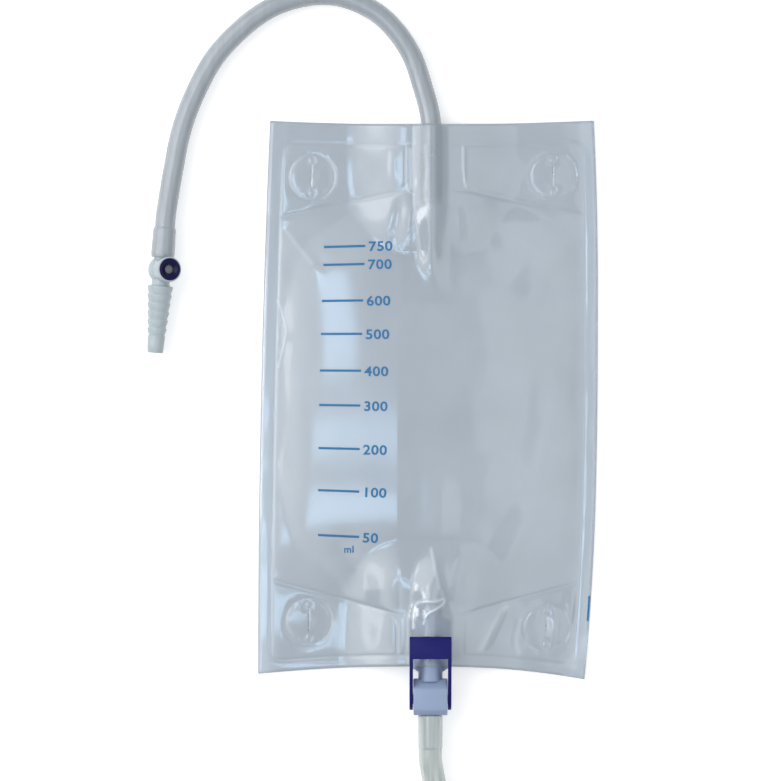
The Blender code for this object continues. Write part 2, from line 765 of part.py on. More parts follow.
def build_tap(parts, cutters, moulded, barrel_plastic):
    def along_y(u, v, w):
        return (TAP_X + u, w, TAP_Z + v)

    def along_x(u, v, w):
        return (TAP_X + w, u, TAP_Z + v)

    axis = tap_axis_frame()
    body = rod("tap_body", NECK_RADIUS, BLOCK_TOP_Y - OVERRUN, SPIGOT_TOP_Y, axis, parts, moulded)
    boat = prism("weld boat", boat_outline(), BOAT_BOTTOM_Y, BOAT_TOP_Y, along_y, cutters)
    bm = bmesh.new()
    wide_end = BOAT_BOTTOM_Y + OVERRUN / 2
    narrow = add_prism(bm, boat_outline(), wide_end, BOAT_BOTTOM_Y - BOAT_CHAMFER, along_y)
    waist = Matrix.Diagonal((NECK_RADIUS / BOAT_HALF_WIDTH, 1, 1, 1))
    centre = Matrix.Translation((-TAP_X, 0, 0))
    bmesh.ops.transform(bm, matrix=waist, space=centre, verts=narrow)
    chamfer = mesh_object("boat chamfer", bm, cutters)
    block = prism(
        "valve block", block_outline(), -BLOCK_HALF_WIDTH, BLOCK_HALF_WIDTH, along_x, cutters
    )
    outlet = rod(
        "outlet spigot", OUTLET_SPIGOT_RADIUS, OUTLET_END_Y, BLOCK_BOTTOM_Y + OVERRUN, axis, cutters
    )
    bore = rod("tap bore", TAP_BORE, OUTLET_END_Y - OVERRUN, SPIGOT_TOP_Y + OVERRUN, axis, cutters)
    pivot = pivot_frame()
    past = LEVER_HALF_WIDTH + OVERRUN
    seat = rod("barrel seat", PLUG_RADIUS + PLUG_GAP, -past, past, pivot, cutters)
    for piece in (boat, chamfer, block, outlet):
        combine(body, as_cutter(piece), "UNION")
    for cut in (bore, seat):
        combine(body, as_cutter(cut), "DIFFERENCE")

    plug = rod("tap_plug", PLUG_RADIUS, -BLOCK_HALF_WIDTH, BLOCK_HALF_WIDTH, pivot, parts, barrel_plastic)
    drive = rod("lever drive", DRIVE_RADIUS, -LEVER_HALF_WIDTH, LEVER_HALF_WIDTH, pivot, cutters, steps=6)
    across = axis_frame((TAP_X, PIVOT_Y, TAP_Z), (0, 0, 1))
    plug_bore = rod("barrel bore", PLUG_BORE, -2 * PLUG_RADIUS, 2 * PLUG_RADIUS, across, cutters)
    combine(plug, as_cutter(drive), "UNION")
    combine(plug, as_cutter(plug_bore), "DIFFERENCE")


def lever_outline():
    """The lever's side view: a round boss at the barrel, an arm over the pouch's edge, and the bar."""
    low, high = LEVER_BAR_Z, LEVER_BAR_Z + LEVER_BAR_THICKNESS
    bar_end = PIVOT_Y + LEVER_REACH
    bar_start = bar_end - LEVER_BAR_LENGTH
    boss = []
    for step in range(BOSS_STEPS + 1):
        angle = math.radians(110 + 190 * step / BOSS_STEPS)
        boss.append(
            (PIVOT_Y + LEVER_BOSS_RADIUS * math.cos(angle), LEVER_BOSS_RADIUS * math.sin(angle))
        )
    clear = (POUCH_BOTTOM - 2 * LEVER_EDGE, LEVER_ARM_CLEAR_Z)
    bar_top = [(bar_end, high), (bar_start - LEVER_BAR_THICKNESS, high)]
    return bar_top + boss + [clear, (bar_start, low), (bar_end, low)]


def build_lever(parts, cutters, lever_plastic):
    def along_x(u, v, w):
        return (TAP_X + w, u, TAP_Z + v)

    lever = prism(
        "tap_lever", lever_outline(), -LEVER_HALF_WIDTH, LEVER_HALF_WIDTH, along_x, parts, lever_plastic
    )
    inner = BLOCK_HALF_WIDTH + LEVER_SIDE_GAP
    bar_start = PIVOT_Y + LEVER_REACH - LEVER_BAR_LENGTH
    past, low = 2 * BLOCK_HALF_DEPTH, PIVOT_Y - 2 * LEVER_BOSS_RADIUS
    window = [(bar_start, -past), (bar_start, past), (low, past), (low, -past)]
    cut = prism("lever window", window, -inner, inner, along_x, cutters)
    socket = rod("drive socket", DRIVE_RADIUS + GAP, -past, past, pivot_frame(), cutters, steps=6)
    edge = lever.modifiers.new("edges", "BEVEL")
    edge.width = LEVER_EDGE
    edge.segments = 2
    edge.limit_method = "ANGLE"
    edge.angle_limit = math.radians(50)
    combine(lever, as_cutter(cut), "DIFFERENCE")
    combine(lever, as_cutter(socket), "DIFFERENCE")


def build_outlet_tube(parts, tube_plastic):
    start = OUTLET_END_Y - 2 * GAP
    route = [(TAP_X, start, TAP_Z), (TAP_X, start - HOSE_LEAD, TAP_Z), *OUTLET_ROUTE]
    hose("outlet_tube", route, OUTLET_STEPS, OUTLET_TUBE_RADIUS, parts, tube_plastic)
    inner = OUTLET_SPIGOT_RADIUS + GAP
    low, high = OUTLET_END_Y - GAP, BLOCK_BOTTOM_Y - GAP
    cuff = [
        (OUTLET_CUFF_RADIUS, high),
        (OUTLET_CUFF_RADIUS, low + OUTLET_CUFF_STEP),
        (OUTLET_TUBE_RADIUS, low),
        (inner, low),
        (inner, high),
    ]
    turned("outlet_cuff", cuff, tap_axis_frame(), parts, tube_plastic)


def main():
    clear_scene()
    parts = new_collection("urine drainage bag")
    cutters = new_collection("cutters")
    printed_film = new_material("front film", (0.45, 0.50, 0.56), 0.35, 0.6)
    plain_film = new_material("back film", (0.45, 0.50, 0.56), 0.35, 0.6)
    flap_film = new_material("valve film", (0.50, 0.54, 0.58), 0.35, 0.6)
    tube_plastic = new_material("soft tube", (0.42, 0.45, 0.48), 0.25, 0.8)
    white_plastic = new_material("white plastic", (0.72, 0.77, 0.80), 0.3)
    tap_plastic = new_material("tap plastic", (0.38, 0.44, 0.62), 0.3)
    barrel_plastic = new_material("barrel plastic", (0.60, 0.64, 0.72), 0.3)
    blue_plastic = new_material("blue plastic", (0.03, 0.025, 0.22), 0.3)
    ring_plastic = new_material("dark ring plastic", (0.012, 0.008, 0.06), 0.25)
    grey_rubber = new_material("grey rubber", (0.13, 0.14, 0.15), 0.7)

    build_pouch(parts, cutters, printed_film, plain_film)
    valve_flap("valve_flap_front", 1, parts, flap_film)
    valve_flap("valve_flap_back", 0, parts, flap_film)
    build_inlet_tube(parts, tube_plastic)
    build_connector(parts, cutters, white_plastic, ring_plastic, grey_rubber)
    build_tap(parts, cutters, tap_plastic, barrel_plastic)
    build_lever(parts, cutters, blue_plastic)
    build_outlet_tube(parts, tube_plastic)


main()
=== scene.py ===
"""Finished surfaces of a urine drainage leg bag that lies flat, built around its solid frame.

Metres, +Z up. The table is z = 0, +Y runs towards the inlet end and +X to the right of the printed side."""

import math
from collections import namedtuple

import bmesh
import bpy
from mathutils import Matrix, Vector, noise
from mathutils.bvhtree import BVHTree


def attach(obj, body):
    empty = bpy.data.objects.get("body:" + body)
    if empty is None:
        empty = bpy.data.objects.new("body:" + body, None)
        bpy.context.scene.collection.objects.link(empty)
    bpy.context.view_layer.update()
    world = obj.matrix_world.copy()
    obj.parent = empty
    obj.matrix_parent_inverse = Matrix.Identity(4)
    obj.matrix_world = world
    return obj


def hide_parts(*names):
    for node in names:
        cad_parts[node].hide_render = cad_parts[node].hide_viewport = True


bl_info = {
    "name": "Urine drainage bag",
    "version": (1, 0, 0),
    "blender": (4, 5, 0),
    "location": "3D View > Sidebar > Drainage Bag",
    "description": "Films, tubes, connector, tap, print and studio of a flat-lying drainage leg bag",
    "category": "Object",
}

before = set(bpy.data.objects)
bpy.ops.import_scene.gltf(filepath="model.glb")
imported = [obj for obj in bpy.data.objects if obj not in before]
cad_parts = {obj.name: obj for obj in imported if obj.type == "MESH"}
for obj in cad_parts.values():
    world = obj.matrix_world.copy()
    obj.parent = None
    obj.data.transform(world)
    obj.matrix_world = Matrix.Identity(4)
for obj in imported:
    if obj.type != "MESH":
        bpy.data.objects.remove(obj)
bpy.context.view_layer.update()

# Pouch outline, measured on the flat sheet
POUCH_LEFT = -0.0731
POUCH_RIGHT = 0.0731
POUCH_TOP = 0.1352
POUCH_BOTTOM = -0.0995
TOP_LEFT_NARROWING = 0.0052
TOP_RIGHT_NARROWING = 0.0017
BOTTOM_RIGHT_NARROWING = 0.0052
RIGHT_WIDEST_SHARE = 0.7
TOP_EDGE_SAG = 0.0018
BOTTOM_LEFT_DROP = 0.0035
BOTTOM_RIGHT_DROP = 0.0069

# Welds
SIDE_WELD_INSET = 0.0056
TOP_WELD_INSET = 0.0090
BOTTOM_WELD_INSET = 0.0048
FRAME_CORNER = 0.0055
EAR_CORNER = 0.0045

# Fullness of the sheets between the welds
POUCH_PUFF_REACH = 0.0160
WELD_SHOULDER = 0.00034
WELD_SHOULDER_REACH = 0.00055
EAR_PUFF = 0.00026
EAR_PUFF_REACH = 0.0060
FLANGE_PUFF = 0.00035
FLANGE_PUFF_REACH = 0.0008
SEAM_RUN_OUT = 0.0300
WELD_ZONE = 0.0021
CLOSING_START = 0.0006
MARGIN_WAVE = 0.0005
MARGIN_WAVE_PITCH = 0.0300

# Strap eyelets: centres, the pressed ring, and the slit between its two small pressed rings
EYELETS = {
    "upper_left": (-0.0503, 0.1109),
    "upper_right": (0.0537, 0.1112),
    "lower_left": (-0.0515, -0.0804),
    "lower_right": (0.0508, -0.0831),
}
EYELET_RADIUS = 0.0098
EYELET_GROOVE = 0.0008
EYELET_WALL = 0.0005
SLIT_HALF = 0.0054
SLIT_GAP = 0.00010
SLIT_RING_PLACE = 0.0070
SLIT_RING_RADIUS = 0.0015
SLIT_RING_GROOVE = 0.0003
SLIT_LIP_FALL = 0.0020
SLIT_LIPS = {
    "upper_left": (0.0004, 0.0007),
    "upper_right": (0.0002, 0.0007),
    "lower_left": (0.0004, 0.0007),
    "lower_right": (0.0011, 0.0040),
}

# Inlet tube and catheter connector
INLET_X = 0.0014
INLET_TUBE_RADIUS = 0.0043
INLET_TUBE_END_Y = 0.0995
INLET_TUBE_WALL = 0.0012
INLET_WELD_FOOT = 0.0072
POUCH_FOOT = 0.0080
CONNECTOR_END = (-0.1129, 0.0897)
CONNECTOR_TURN = math.radians(4.5)
CONNECTOR_BORE = 0.0023
CONNECTOR_SPIGOT_RADIUS = 0.0037
CONNECTOR_SPIGOT_LENGTH = 0.0138
BULGE_RADIUS = 0.0058
BULGE_PLACE = 0.0190
CONNECTOR_NECK_RADIUS = 0.0039
CONE_START = 0.0262
CONE_LENGTH = 0.0286
CONE_ROOT_RADIUS = 0.0056
CONE_TIP_RADIUS = 0.0034
BARB_COUNT = 6
BARB_PITCH = 0.0036
BARB_DEPTH = 0.0005
INLET_CUFF_RADIUS = 0.00505

# Sampling port
PORT_TILT = math.radians(25)
PORT_HEIGHT = 0.0093
PORT_RADIUS = 0.0054
PORT_RING_RADIUS = 0.0047
PORT_RING_THICKNESS = 0.0013
PORT_RING_SEAT = 0.0012
PORT_HOLE_RADIUS = 0.0020
PORT_FUNNEL_RADIUS = 0.0032
SEPTUM_RADIUS = 0.0036
SEPTUM_THICKNESS = 0.0029

# Tap, lever and outlet tube
TAP_X = 0.0010
SPIGOT_TOP_Y = -0.0712
BOAT_TOP_Y = -0.0793
BOAT_BOTTOM_Y = -0.1000
BOAT_HALF_WIDTH = 0.0089
BOAT_TIP_THICKNESS = 0.0007
BOAT_CHAMFER = 0.0018
NECK_RADIUS = 0.00525
TAP_BORE = 0.0027
BLOCK_TOP_Y = -0.1047
BLOCK_BOTTOM_Y = -0.1202
BLOCK_HALF_WIDTH = 0.0073
BLOCK_HALF_DEPTH = 0.0066
BLOCK_TOP_CHAMFER = 0.0040
BLOCK_BOTTOM_CHAMFER = 0.0022
OUTLET_SPIGOT_RADIUS = 0.0037
OUTLET_SPIGOT_LENGTH = 0.0150
PIVOT_Y = -0.1135
PLUG_RADIUS = 0.0040
PLUG_BORE = 0.0022
DRIVE_RADIUS = 0.0024
LEVER_HALF_WIDTH = 0.0090
LEVER_SIDE_GAP = 0.0002
LEVER_BOSS_RADIUS = 0.0047
LEVER_REACH = 0.0271
LEVER_BAR_LENGTH = 0.0095
LEVER_BAR_THICKNESS = 0.0022
LEVER_ARM_CLEAR_Z = 0.0029
OUTLET_TUBE_RADIUS = 0.0050
OUTLET_CUFF_RADIUS = 0.00525
OUTLET_TUBE_WALL = 0.0013

# Clearances and places worked out from the sizes above
GAP = 0.0003
CAD_FILM = 0.0003
BOAT_FOOT = BOAT_HALF_WIDTH + BOAT_TIP_THICKNESS
INLET_Z = CAD_FILM + GAP + INLET_TUBE_RADIUS
TAP_Z = BLOCK_HALF_DEPTH
CONNECTOR_Z = BULGE_RADIUS
SEAM_Z = CAD_FILM + GAP / 2
LEVER_BAR_Z = NECK_RADIUS + 3 * GAP + CAD_FILM
OUTLET_END_Y = BLOCK_BOTTOM_Y - OUTLET_SPIGOT_LENGTH
HOSE_LEAD = 0.0040
PORT_SEAT = PORT_HEIGHT - PORT_RING_SEAT
PORT_POCKET = PORT_SEAT - SEPTUM_THICKNESS - 2 * GAP

# The pouch's two ends: axis, radius and foot of what is welded in, the heights where the weld lets it go and
# where it stops, the run in which the sheets close past it, the way inwards, and the ears' weld and the neck
End = namedtuple("End", "x z radius foot held_y tip_y closing inward ear_y side_y neck_left neck_right")
INLET_END = End(
    x=INLET_X,
    z=INLET_Z,
    radius=INLET_TUBE_RADIUS,
    foot=INLET_WELD_FOOT * (INLET_TUBE_RADIUS + GAP) / INLET_TUBE_RADIUS,
    held_y=0.1052,
    tip_y=INLET_TUBE_END_Y,
    closing=0.0440,
    inward=-1,
    ear_y=0.1052,
    side_y=0.0935,
    neck_left=0.0104,
    neck_right=0.0149,
)
TAP_END = End(
    x=TAP_X,
    z=TAP_Z,
    radius=NECK_RADIUS,
    foot=BOAT_FOOT * (NECK_RADIUS + GAP) / NECK_RADIUS,
    held_y=BOAT_TOP_Y,
    tip_y=SPIGOT_TOP_Y,
    closing=0.0270,
    inward=1,
    ear_y=-0.0772,
    side_y=-0.0630,
    neck_left=0.0143,
    neck_right=0.0140,
)

INLET_ROUTE = [
    (INLET_X, INLET_TUBE_END_Y, INLET_Z),
    (INLET_X, 0.1190, INLET_Z),
    (0.0013, 0.1345, INLET_Z),
    (-0.0019, 0.1481, 0.0046),
    (-0.0082, 0.1653, INLET_TUBE_RADIUS),
    (-0.0206, 0.1802, INLET_TUBE_RADIUS),
    (-0.0378, 0.1881, INLET_TUBE_RADIUS),
    (-0.0550, 0.1877, INLET_TUBE_RADIUS),
    (-0.0722, 0.1806, INLET_TUBE_RADIUS),
    (-0.0894, 0.1649, INLET_TUBE_RADIUS),
    (-0.0994, 0.1480, INLET_TUBE_RADIUS),
    (-0.1059, 0.1309, 0.0044),
    (-0.1094, 0.1137, 0.0050),
    (-0.1117, 0.1000, 0.0056),
]
OUTLET_ROUTE = [
    (0.0016, -0.1435, 0.0063),
    (0.0035, -0.1530, 0.0056),
    (0.0068, -0.1645, OUTLET_TUBE_RADIUS),
    (0.0108, -0.1760, OUTLET_TUBE_RADIUS),
    (0.0146, -0.1880, OUTLET_TUBE_RADIUS),
    (0.0170, -0.1985, OUTLET_TUBE_RADIUS),
]

# Folds of the front sheet: start, end, bow, width of the west or south flank, width of the other, rise
FOLDS = {
    "left shoulder": ((-0.0622, 0.0885), (-0.0430, 0.0630), 0.0, 0.0075, 0.0050, 0.0002),
    "lens crease, upper": ((-0.0645, 0.0590), (-0.0606, 0.0425), -0.0006, 0.0050, 0.0050, -0.0002),
    "lens crease, lower": ((-0.0606, 0.0425), (-0.0645, 0.0275), -0.0006, 0.0050, 0.0050, -0.0002),
    "window": ((-0.0129, 0.0850), (-0.0129, -0.0720), 0.0, 0.0350, 0.0270, 0.0006),
    "below inlet": ((0.0020, 0.0920), (0.0030, 0.0560), 0.0, 0.0060, 0.0070, 0.0003),
    "left of valve": ((-0.0108, 0.1035), (-0.0150, 0.0790), 0.0, 0.0040, 0.0050, -0.0005),
    "right of valve": ((0.0115, 0.1015), (0.0135, 0.0810), 0.0, 0.0040, 0.0050, -0.0005),
    "above tap": ((0.0017, -0.0484), (0.0064, -0.0735), 0.0, 0.0040, 0.0080, 0.0009),
    "right of tap": ((0.0146, -0.0480), (0.0088, -0.0735), -0.0015, 0.0060, 0.0024, 0.0007),
    "left of tap": ((-0.0130, -0.0600), (-0.0120, -0.0800), 0.0, 0.0050, 0.0060, -0.0004),
    "far left of tap": ((-0.0420, -0.0420), (-0.0220, -0.0690), 0.0, 0.0080, 0.0080, -0.0004),
    "upper left neck": ((-0.0150, 0.1230), (-0.0150, 0.1080), 0.0, 0.0020, 0.0020, 0.0003),
    "upper left ear": ((-0.0230, 0.1220), (-0.0340, 0.1010), 0.0, 0.0090, 0.0070, 0.0001),
    "upper left ear corner": ((-0.0540, 0.0960), (-0.0330, 0.1015), 0.0, 0.0030, 0.0060, 0.0003),
    "upper right ear": ((0.0360, 0.1215), (0.0300, 0.1000), 0.0, 0.0100, 0.0080, 0.0005),
    "right of the neck": ((0.0210, 0.1000), (0.0360, 0.0780), 0.0, 0.0050, 0.0080, 0.0003),
    "far right of tap": ((0.0180, -0.0560), (0.0130, -0.0790), 0.0, 0.0050, 0.0060, -0.0008),
    "lower left ear": ((-0.0200, -0.0790), (-0.0205, -0.0930), 0.0, 0.0060, 0.0060, 0.0002),
    "lower right ear": ((0.0330, -0.0730), (0.0235, -0.0930), 0.0, 0.0055, 0.0030, 0.0007),
    "beside the lower right eyelet": ((0.0400, -0.0760), (0.0370, -0.0960), 0.0, 0.0040, 0.0040, 0.0005),
    "lower right corner": ((0.0640, -0.0660), (0.0610, -0.0860), 0.0, 0.0050, 0.0016, 0.0005),
    "lower right flange": ((0.0450, -0.0990), (0.0650, -0.1000), 0.0, 0.0020, 0.0020, 0.0004),
    "right shoulder": ((0.0640, 0.0860), (0.0400, 0.0540), 0.0, 0.0110, 0.0080, 0.0005),
    "right middle": ((0.0560, 0.0330), (0.0420, -0.0250), 0.0030, 0.0120, 0.0100, 0.0006),
    "centre low": ((0.0060, -0.0140), (0.0040, -0.0500), 0.0, 0.0100, 0.0100, 0.0004),
    "low right": ((0.0500, -0.0250), (0.0300, -0.0600), 0.0, 0.0100, 0.0060, 0.0005),
}

# Sharp creases, whitened along their lines: painted highlights, partly also the whitening of a sharp fold.
# Half width, painted highlight, rise and the points of a smooth line
CREASES = {
    "hood": (0.0008, 0.75, 0.0004, [
        (-0.0064, -0.0830), (-0.0063, -0.0770), (-0.0052, -0.0728), (-0.0020, -0.0716), (0.0030, -0.0714),
        (0.0064, -0.0704), (0.0066, -0.0722), (0.0038, -0.0744), (0.0002, -0.0764), (-0.0014, -0.0785),
    ]),
    "inside the hood": (0.0009, 0.60, 0.0002, [(-0.0020, -0.0770), (-0.0015, -0.0790), (-0.0020, -0.0810)]),
    "lens": (0.0005, 0.5, 0.0001, [
        (-0.0645, 0.0578), (-0.0622, 0.0500), (-0.0612, 0.0425), (-0.0645, 0.0290),
    ]),
    "shoulder": (0.0009, 0.30, 0.0, [(-0.0622, 0.0890), (-0.0560, 0.0810), (-0.0500, 0.0737)]),
    "left of inlet": (0.0005, 0.5, 0.0, [(-0.0096, 0.1245), (-0.0094, 0.1070), (-0.0060, 0.1030)]),
    "right of inlet": (0.0007, 0.6, 0.0002, [(0.0148, 0.1235), (0.0150, 0.1140), (0.0162, 0.1068)]),
    "beside the tube": (0.0006, 0.4, 0.0, [
        (-0.0013, 0.1240), (-0.0006, 0.1130), (-0.0016, 0.1040), (0.0002, 0.0970),
    ]),
    "above tap": (0.0008, 0.3, 0.0002, [(0.0018, -0.0490), (0.0042, -0.0620), (0.0064, -0.0700)]),
    "lower right ear": (0.0018, 0.30, 0.0002, [(0.0335, -0.0745), (0.0270, -0.0860), (0.0230, -0.0920)]),
    "beside the eyelet": (0.0012, 0.25, 0.0, [(0.0400, -0.0800), (0.0378, -0.0880), (0.0390, -0.0940)]),
    "lower right corner": (0.0022, 0.30, 0.0, [(0.0600, -0.0995), (0.0640, -0.0960), (0.0668, -0.0890)]),
}

# Ribs pressed along the inlet tube and the tap: distance from the axis, rise, top and bottom
NECK_RIBS = {
    "inlet left": (-0.0076, 0.0004, 0.1245, 0.1070),
    "inlet right": (0.0076, 0.0004, 0.1245, 0.1070),
    "inlet far left": (-0.0109, 0.0005, 0.1245, 0.1065),
    "inlet far right": (0.0148, 0.0006, 0.1245, 0.1065),
    "tap left": (-0.0114, 0.0003, -0.0790, -0.0935),
    "tap right": (0.0112, 0.0003, -0.0790, -0.0935),
}
RIB_HALF_WIDTH = 0.0006

# The sheet is taut under the scale: the outer and inner edge of that part on each side
TAUT_LEFT, TAUT_RIGHT = (-0.058, -0.050), (-0.002, -0.012)
TAUT_LOW, TAUT_HIGH = (-0.052, -0.044), (0.082, 0.072)
RIPPLE = 0.00042

# How clearly the inlet tube, the tap's spigot and the weld boat show through the sheet pressed on them
INLET_SHOWN, SPIGOT_SHOWN, BOAT_SHOWN = 0.45, 0.55, 0.45
BOAT_SHOWN_FROM, BOAT_SHOWN_TO = -0.0925, -0.0940

FILM_CELLS = {"front": (0.0014, 0.0016, 2), "back": (0.0020, 0.0026, 1)}

# Rings along each hose's cuff
CUFF_STEPS = 36

# Printed graduations: the volume in millilitres and the height of its line on the sheet
GRADUATIONS = {
    750: 0.0806,
    700: 0.0729,
    600: 0.0574,
    500: 0.0432,
    400: 0.0275,
    300: 0.0127,
    200: -0.0058,
    100: -0.0239,
    50: -0.0432,
}
UNIT_PLACE = (-0.0362, -0.0508)
UNIT_SHARE = 0.72
EDGE_MARK_Y = -0.0749
EDGE_MARK_INSET = 0.0008
EDGE_MARK_SIZE = (0.0008, 0.0108)

# Panes of the window that the film mirrors above the table: left, right, low and high edge of each
WINDOW_PANES = [
    (-0.285, -0.172, 0.041, 0.210),
    (-0.324, -0.060, -0.038, -0.001),
    (-0.324, -0.060, -0.155, -0.078),
]
PANE_COLOUR = (0.50, 0.74, 1.0)

# Left and right edge of each strip of the broad panel that the film mirrors, and its share of the light
SHEEN_STRIPS = [
    (-0.85, -0.48, 1.0),
    (-0.48, -0.40, 0.8),
    (-0.40, -0.32, 0.6),
    (-0.32, -0.24, 0.4),
    (-0.24, -0.14, 0.2),
]
PANE_HEIGHT = 1.19
SHEEN_HEIGHT = 1.20


def eased(low, high, value):
    """0 at low and 1 at high, with a smooth run between them."""
    share = min(max((value - low) / (high - low), 0.0), 1.0)
    return share * share * (3 - 2 * share)


def rounded_least(a, b, radius):
    """The lesser of two distances from two edges, with their corner rounded."""
    if a < radius and b < radius:
        return radius - math.hypot(radius - a, radius - b)
    return min(a, b)


def height_share(y):
    return (y - POUCH_BOTTOM) / (POUCH_TOP - POUCH_BOTTOM)


def left_edge(y):
    return POUCH_LEFT + TOP_LEFT_NARROWING * max(height_share(y), 0) ** 2


def right_edge(y):
    share = height_share(y) - RIGHT_WIDEST_SHARE
    if share > 0:
        return POUCH_RIGHT - TOP_RIGHT_NARROWING * (share / (1 - RIGHT_WIDEST_SHARE)) ** 2
    return POUCH_RIGHT - BOTTOM_RIGHT_NARROWING * (-share / RIGHT_WIDEST_SHARE) ** 3


def top_edge(x):
    return POUCH_TOP - TOP_EDGE_SAG * (1 - min((x / POUCH_RIGHT) ** 2, 1))


def bottom_edge(x):
    drop, side = (BOTTOM_LEFT_DROP, POUCH_LEFT) if x < 0 else (BOTTOM_RIGHT_DROP, POUCH_RIGHT)
    return POUCH_BOTTOM - drop * (x / side) ** 2


def end_at(y):
    return INLET_END if y > 0 else TAP_END


def ear_line(end, x):
    """The weld that closes the ears of an end: level across the neck, then straight to the side weld."""
    across = x - end.x
    outside = max(-end.neck_left - across, across - end.neck_right, 0)
    run = POUCH_RIGHT - SIDE_WELD_INSET - (end.neck_left + end.neck_right) / 2
    return end.ear_y + (end.side_y - end.ear_y) * min(outside / run, 1)


def between(size, y):
    """A size of the two ends as it changes from the tap to the inlet."""
    low, high = getattr(TAP_END, size), getattr(INLET_END, size)
    return low + (high - low) * eased(SPIGOT_TOP_Y, INLET_TUBE_END_Y, y)


def tent(away, radius, foot):
    """Half the thickness of a sheet pulled over a round bar: round at the top, then straight to its foot."""
    touch = radius**2 / foot
    if away < touch:
        return math.sqrt(radius**2 - away**2)
    top = radius * math.sqrt(1 - (radius / foot) ** 2)
    return max(top * (foot - away) / (foot - touch), 0)


def insert_fullness(x, y):
    """How far the tube or the tap's spigot holds the sheets apart."""
    end = end_at(y)
    foot = end.foot + (POUCH_FOOT - end.foot) * eased(end.held_y, end.tip_y, y)
    held = 1 - eased(end.tip_y + end.inward * CLOSING_START, end.tip_y + end.inward * end.closing, y)
    return 2 * held * tent(abs(x - between("x", y)), end.radius + GAP, foot)


def nearest_eyelet(x, y):
    """The nearest eyelet's name, the offset from its centre and the distance to it."""
    name = min(EYELETS, key=lambda key: math.dist((x, y), EYELETS[key]))
    centre = EYELETS[name]
    return name, x - centre[0], y - centre[1], math.dist((x, y), centre)


def puff_share(edge):
    """How much of its fullness a sheet has reached at a distance from a weld."""
    return 1 - math.exp(-max(edge, 0) / POUCH_PUFF_REACH)


def shoulder(edge):
    """The soft step up beside a pressed weld."""
    return WELD_SHOULDER * (1 - math.exp(-edge / WELD_SHOULDER_REACH))


def ear_fullness(x, y, edge):
    """The puff of an ear, pressed flat along the eyelet's ring and round the ends of its slit."""
    _, across, along, away = nearest_eyelet(x, y)
    ring = abs(away - EYELET_RADIUS) - EYELET_GROOVE / 2
    small = ring
    if away < EYELET_RADIUS:
        end = math.hypot(across, abs(along) - SLIT_RING_PLACE)
        small = abs(end - SLIT_RING_RADIUS) - SLIT_RING_GROOVE / 2
    pressed = math.exp(-max(min(ring, small), 0) / EYELET_WALL)
    puff = shoulder(edge) + EAR_PUFF * (1 - math.exp(-edge / EAR_PUFF_REACH))
    return puff * (1 - pressed)


def lip_rise(x, y):
    """How far the right lip of a slit stands up: a short rise from the cut, then a slow fall."""
    name, across, along, _ = nearest_eyelet(x, y)
    if across <= 0 or abs(along) > SLIT_HALF:
        return 0.0
    rise, ramp = SLIT_LIPS[name]
    ends = math.sqrt(1 - (along / SLIT_HALF) ** 2)
    past = max(across - ramp, 0) / SLIT_LIP_FALL
    return rise * ends * min(across / ramp, 1) * math.exp(-(past**2))


def weld_distances(x, y):
    """Distances inwards from the frame weld, above the upper ear line and below the lower one."""
    sides = min(x - left_edge(y), right_edge(y) - x) - SIDE_WELD_INSET
    ends = min(top_edge(x) - y - TOP_WELD_INSET, y - bottom_edge(x) - BOTTOM_WELD_INSET)
    inside = rounded_least(sides, ends, FRAME_CORNER)
    return inside, y - ear_line(INLET_END, x), ear_line(TAP_END, x) - y


def neck_rib_rise(x, y):
    total = 0.0
    for place, rise, top, bottom in NECK_RIBS.values():
        across = (x - between("x", y) - place) / RIB_HALF_WIDTH
        if abs(across) < 3:
            ends = eased(bottom, bottom + 0.002, y) * eased(top, top - 0.002, y)
            total += rise * ends * math.exp(-(across**2))
    return total


def fullness(x, y, film):
    """How far the sheets stand apart between the welds, apart from what the tube and the tap hold open."""
    frame_weld, above, below = weld_distances(x, y)
    half = film.weld_width / 2
    if frame_weld < half:
        outside = max(-frame_weld - half, 0)
        ripple = 1 + 0.6 * noise.noise((x * 60, y * 60, 3.0))
        return FLANGE_PUFF * ripple * (1 - math.exp(-outside / FLANGE_PUFF_REACH))
    past_line = max(above, below)
    if past_line > 0:
        end = end_at(y)
        across = x - end.x
        beside = max(-across - end.neck_left, across - end.neck_right)
        if beside < 0:
            return shoulder(max(min(-beside, frame_weld) - half, 0)) + neck_rib_rise(x, y)
        edge = min(frame_weld, rounded_least(beside, past_line, EAR_CORNER)) - half
        return ear_fullness(x, y, edge) if edge >= 0 else 0.0
    edge = max(min(frame_weld, -above, -below) - half, 0)
    beside_neck = min(abs(x - between("x", y)) / between("neck_left", y), 1)
    open_edge = edge if beside_neck == 1 else max(edge, frame_weld * (1 - beside_neck))
    share = puff_share(frame_weld - half) * puff_share(-above - half) * puff_share(-below - half)
    return shoulder(open_edge) + film.pouch_puff * share + ripples(x, y) * eased(0, 0.012, edge)


def ripples(x, y):
    """The soft unevenness of a sheet that has been folded in its packet."""
    taut = eased(*TAUT_LEFT, x) * eased(*TAUT_RIGHT, x) * eased(*TAUT_LOW, y) * eased(*TAUT_HIGH, y)
    broad = noise.noise((x * 34, y * 24, 0.0))
    small = noise.noise((x * 90, y * 70, 5.0))
    return RIPPLE * (1 - 0.9 * taut) * (broad + 0.20 * small)


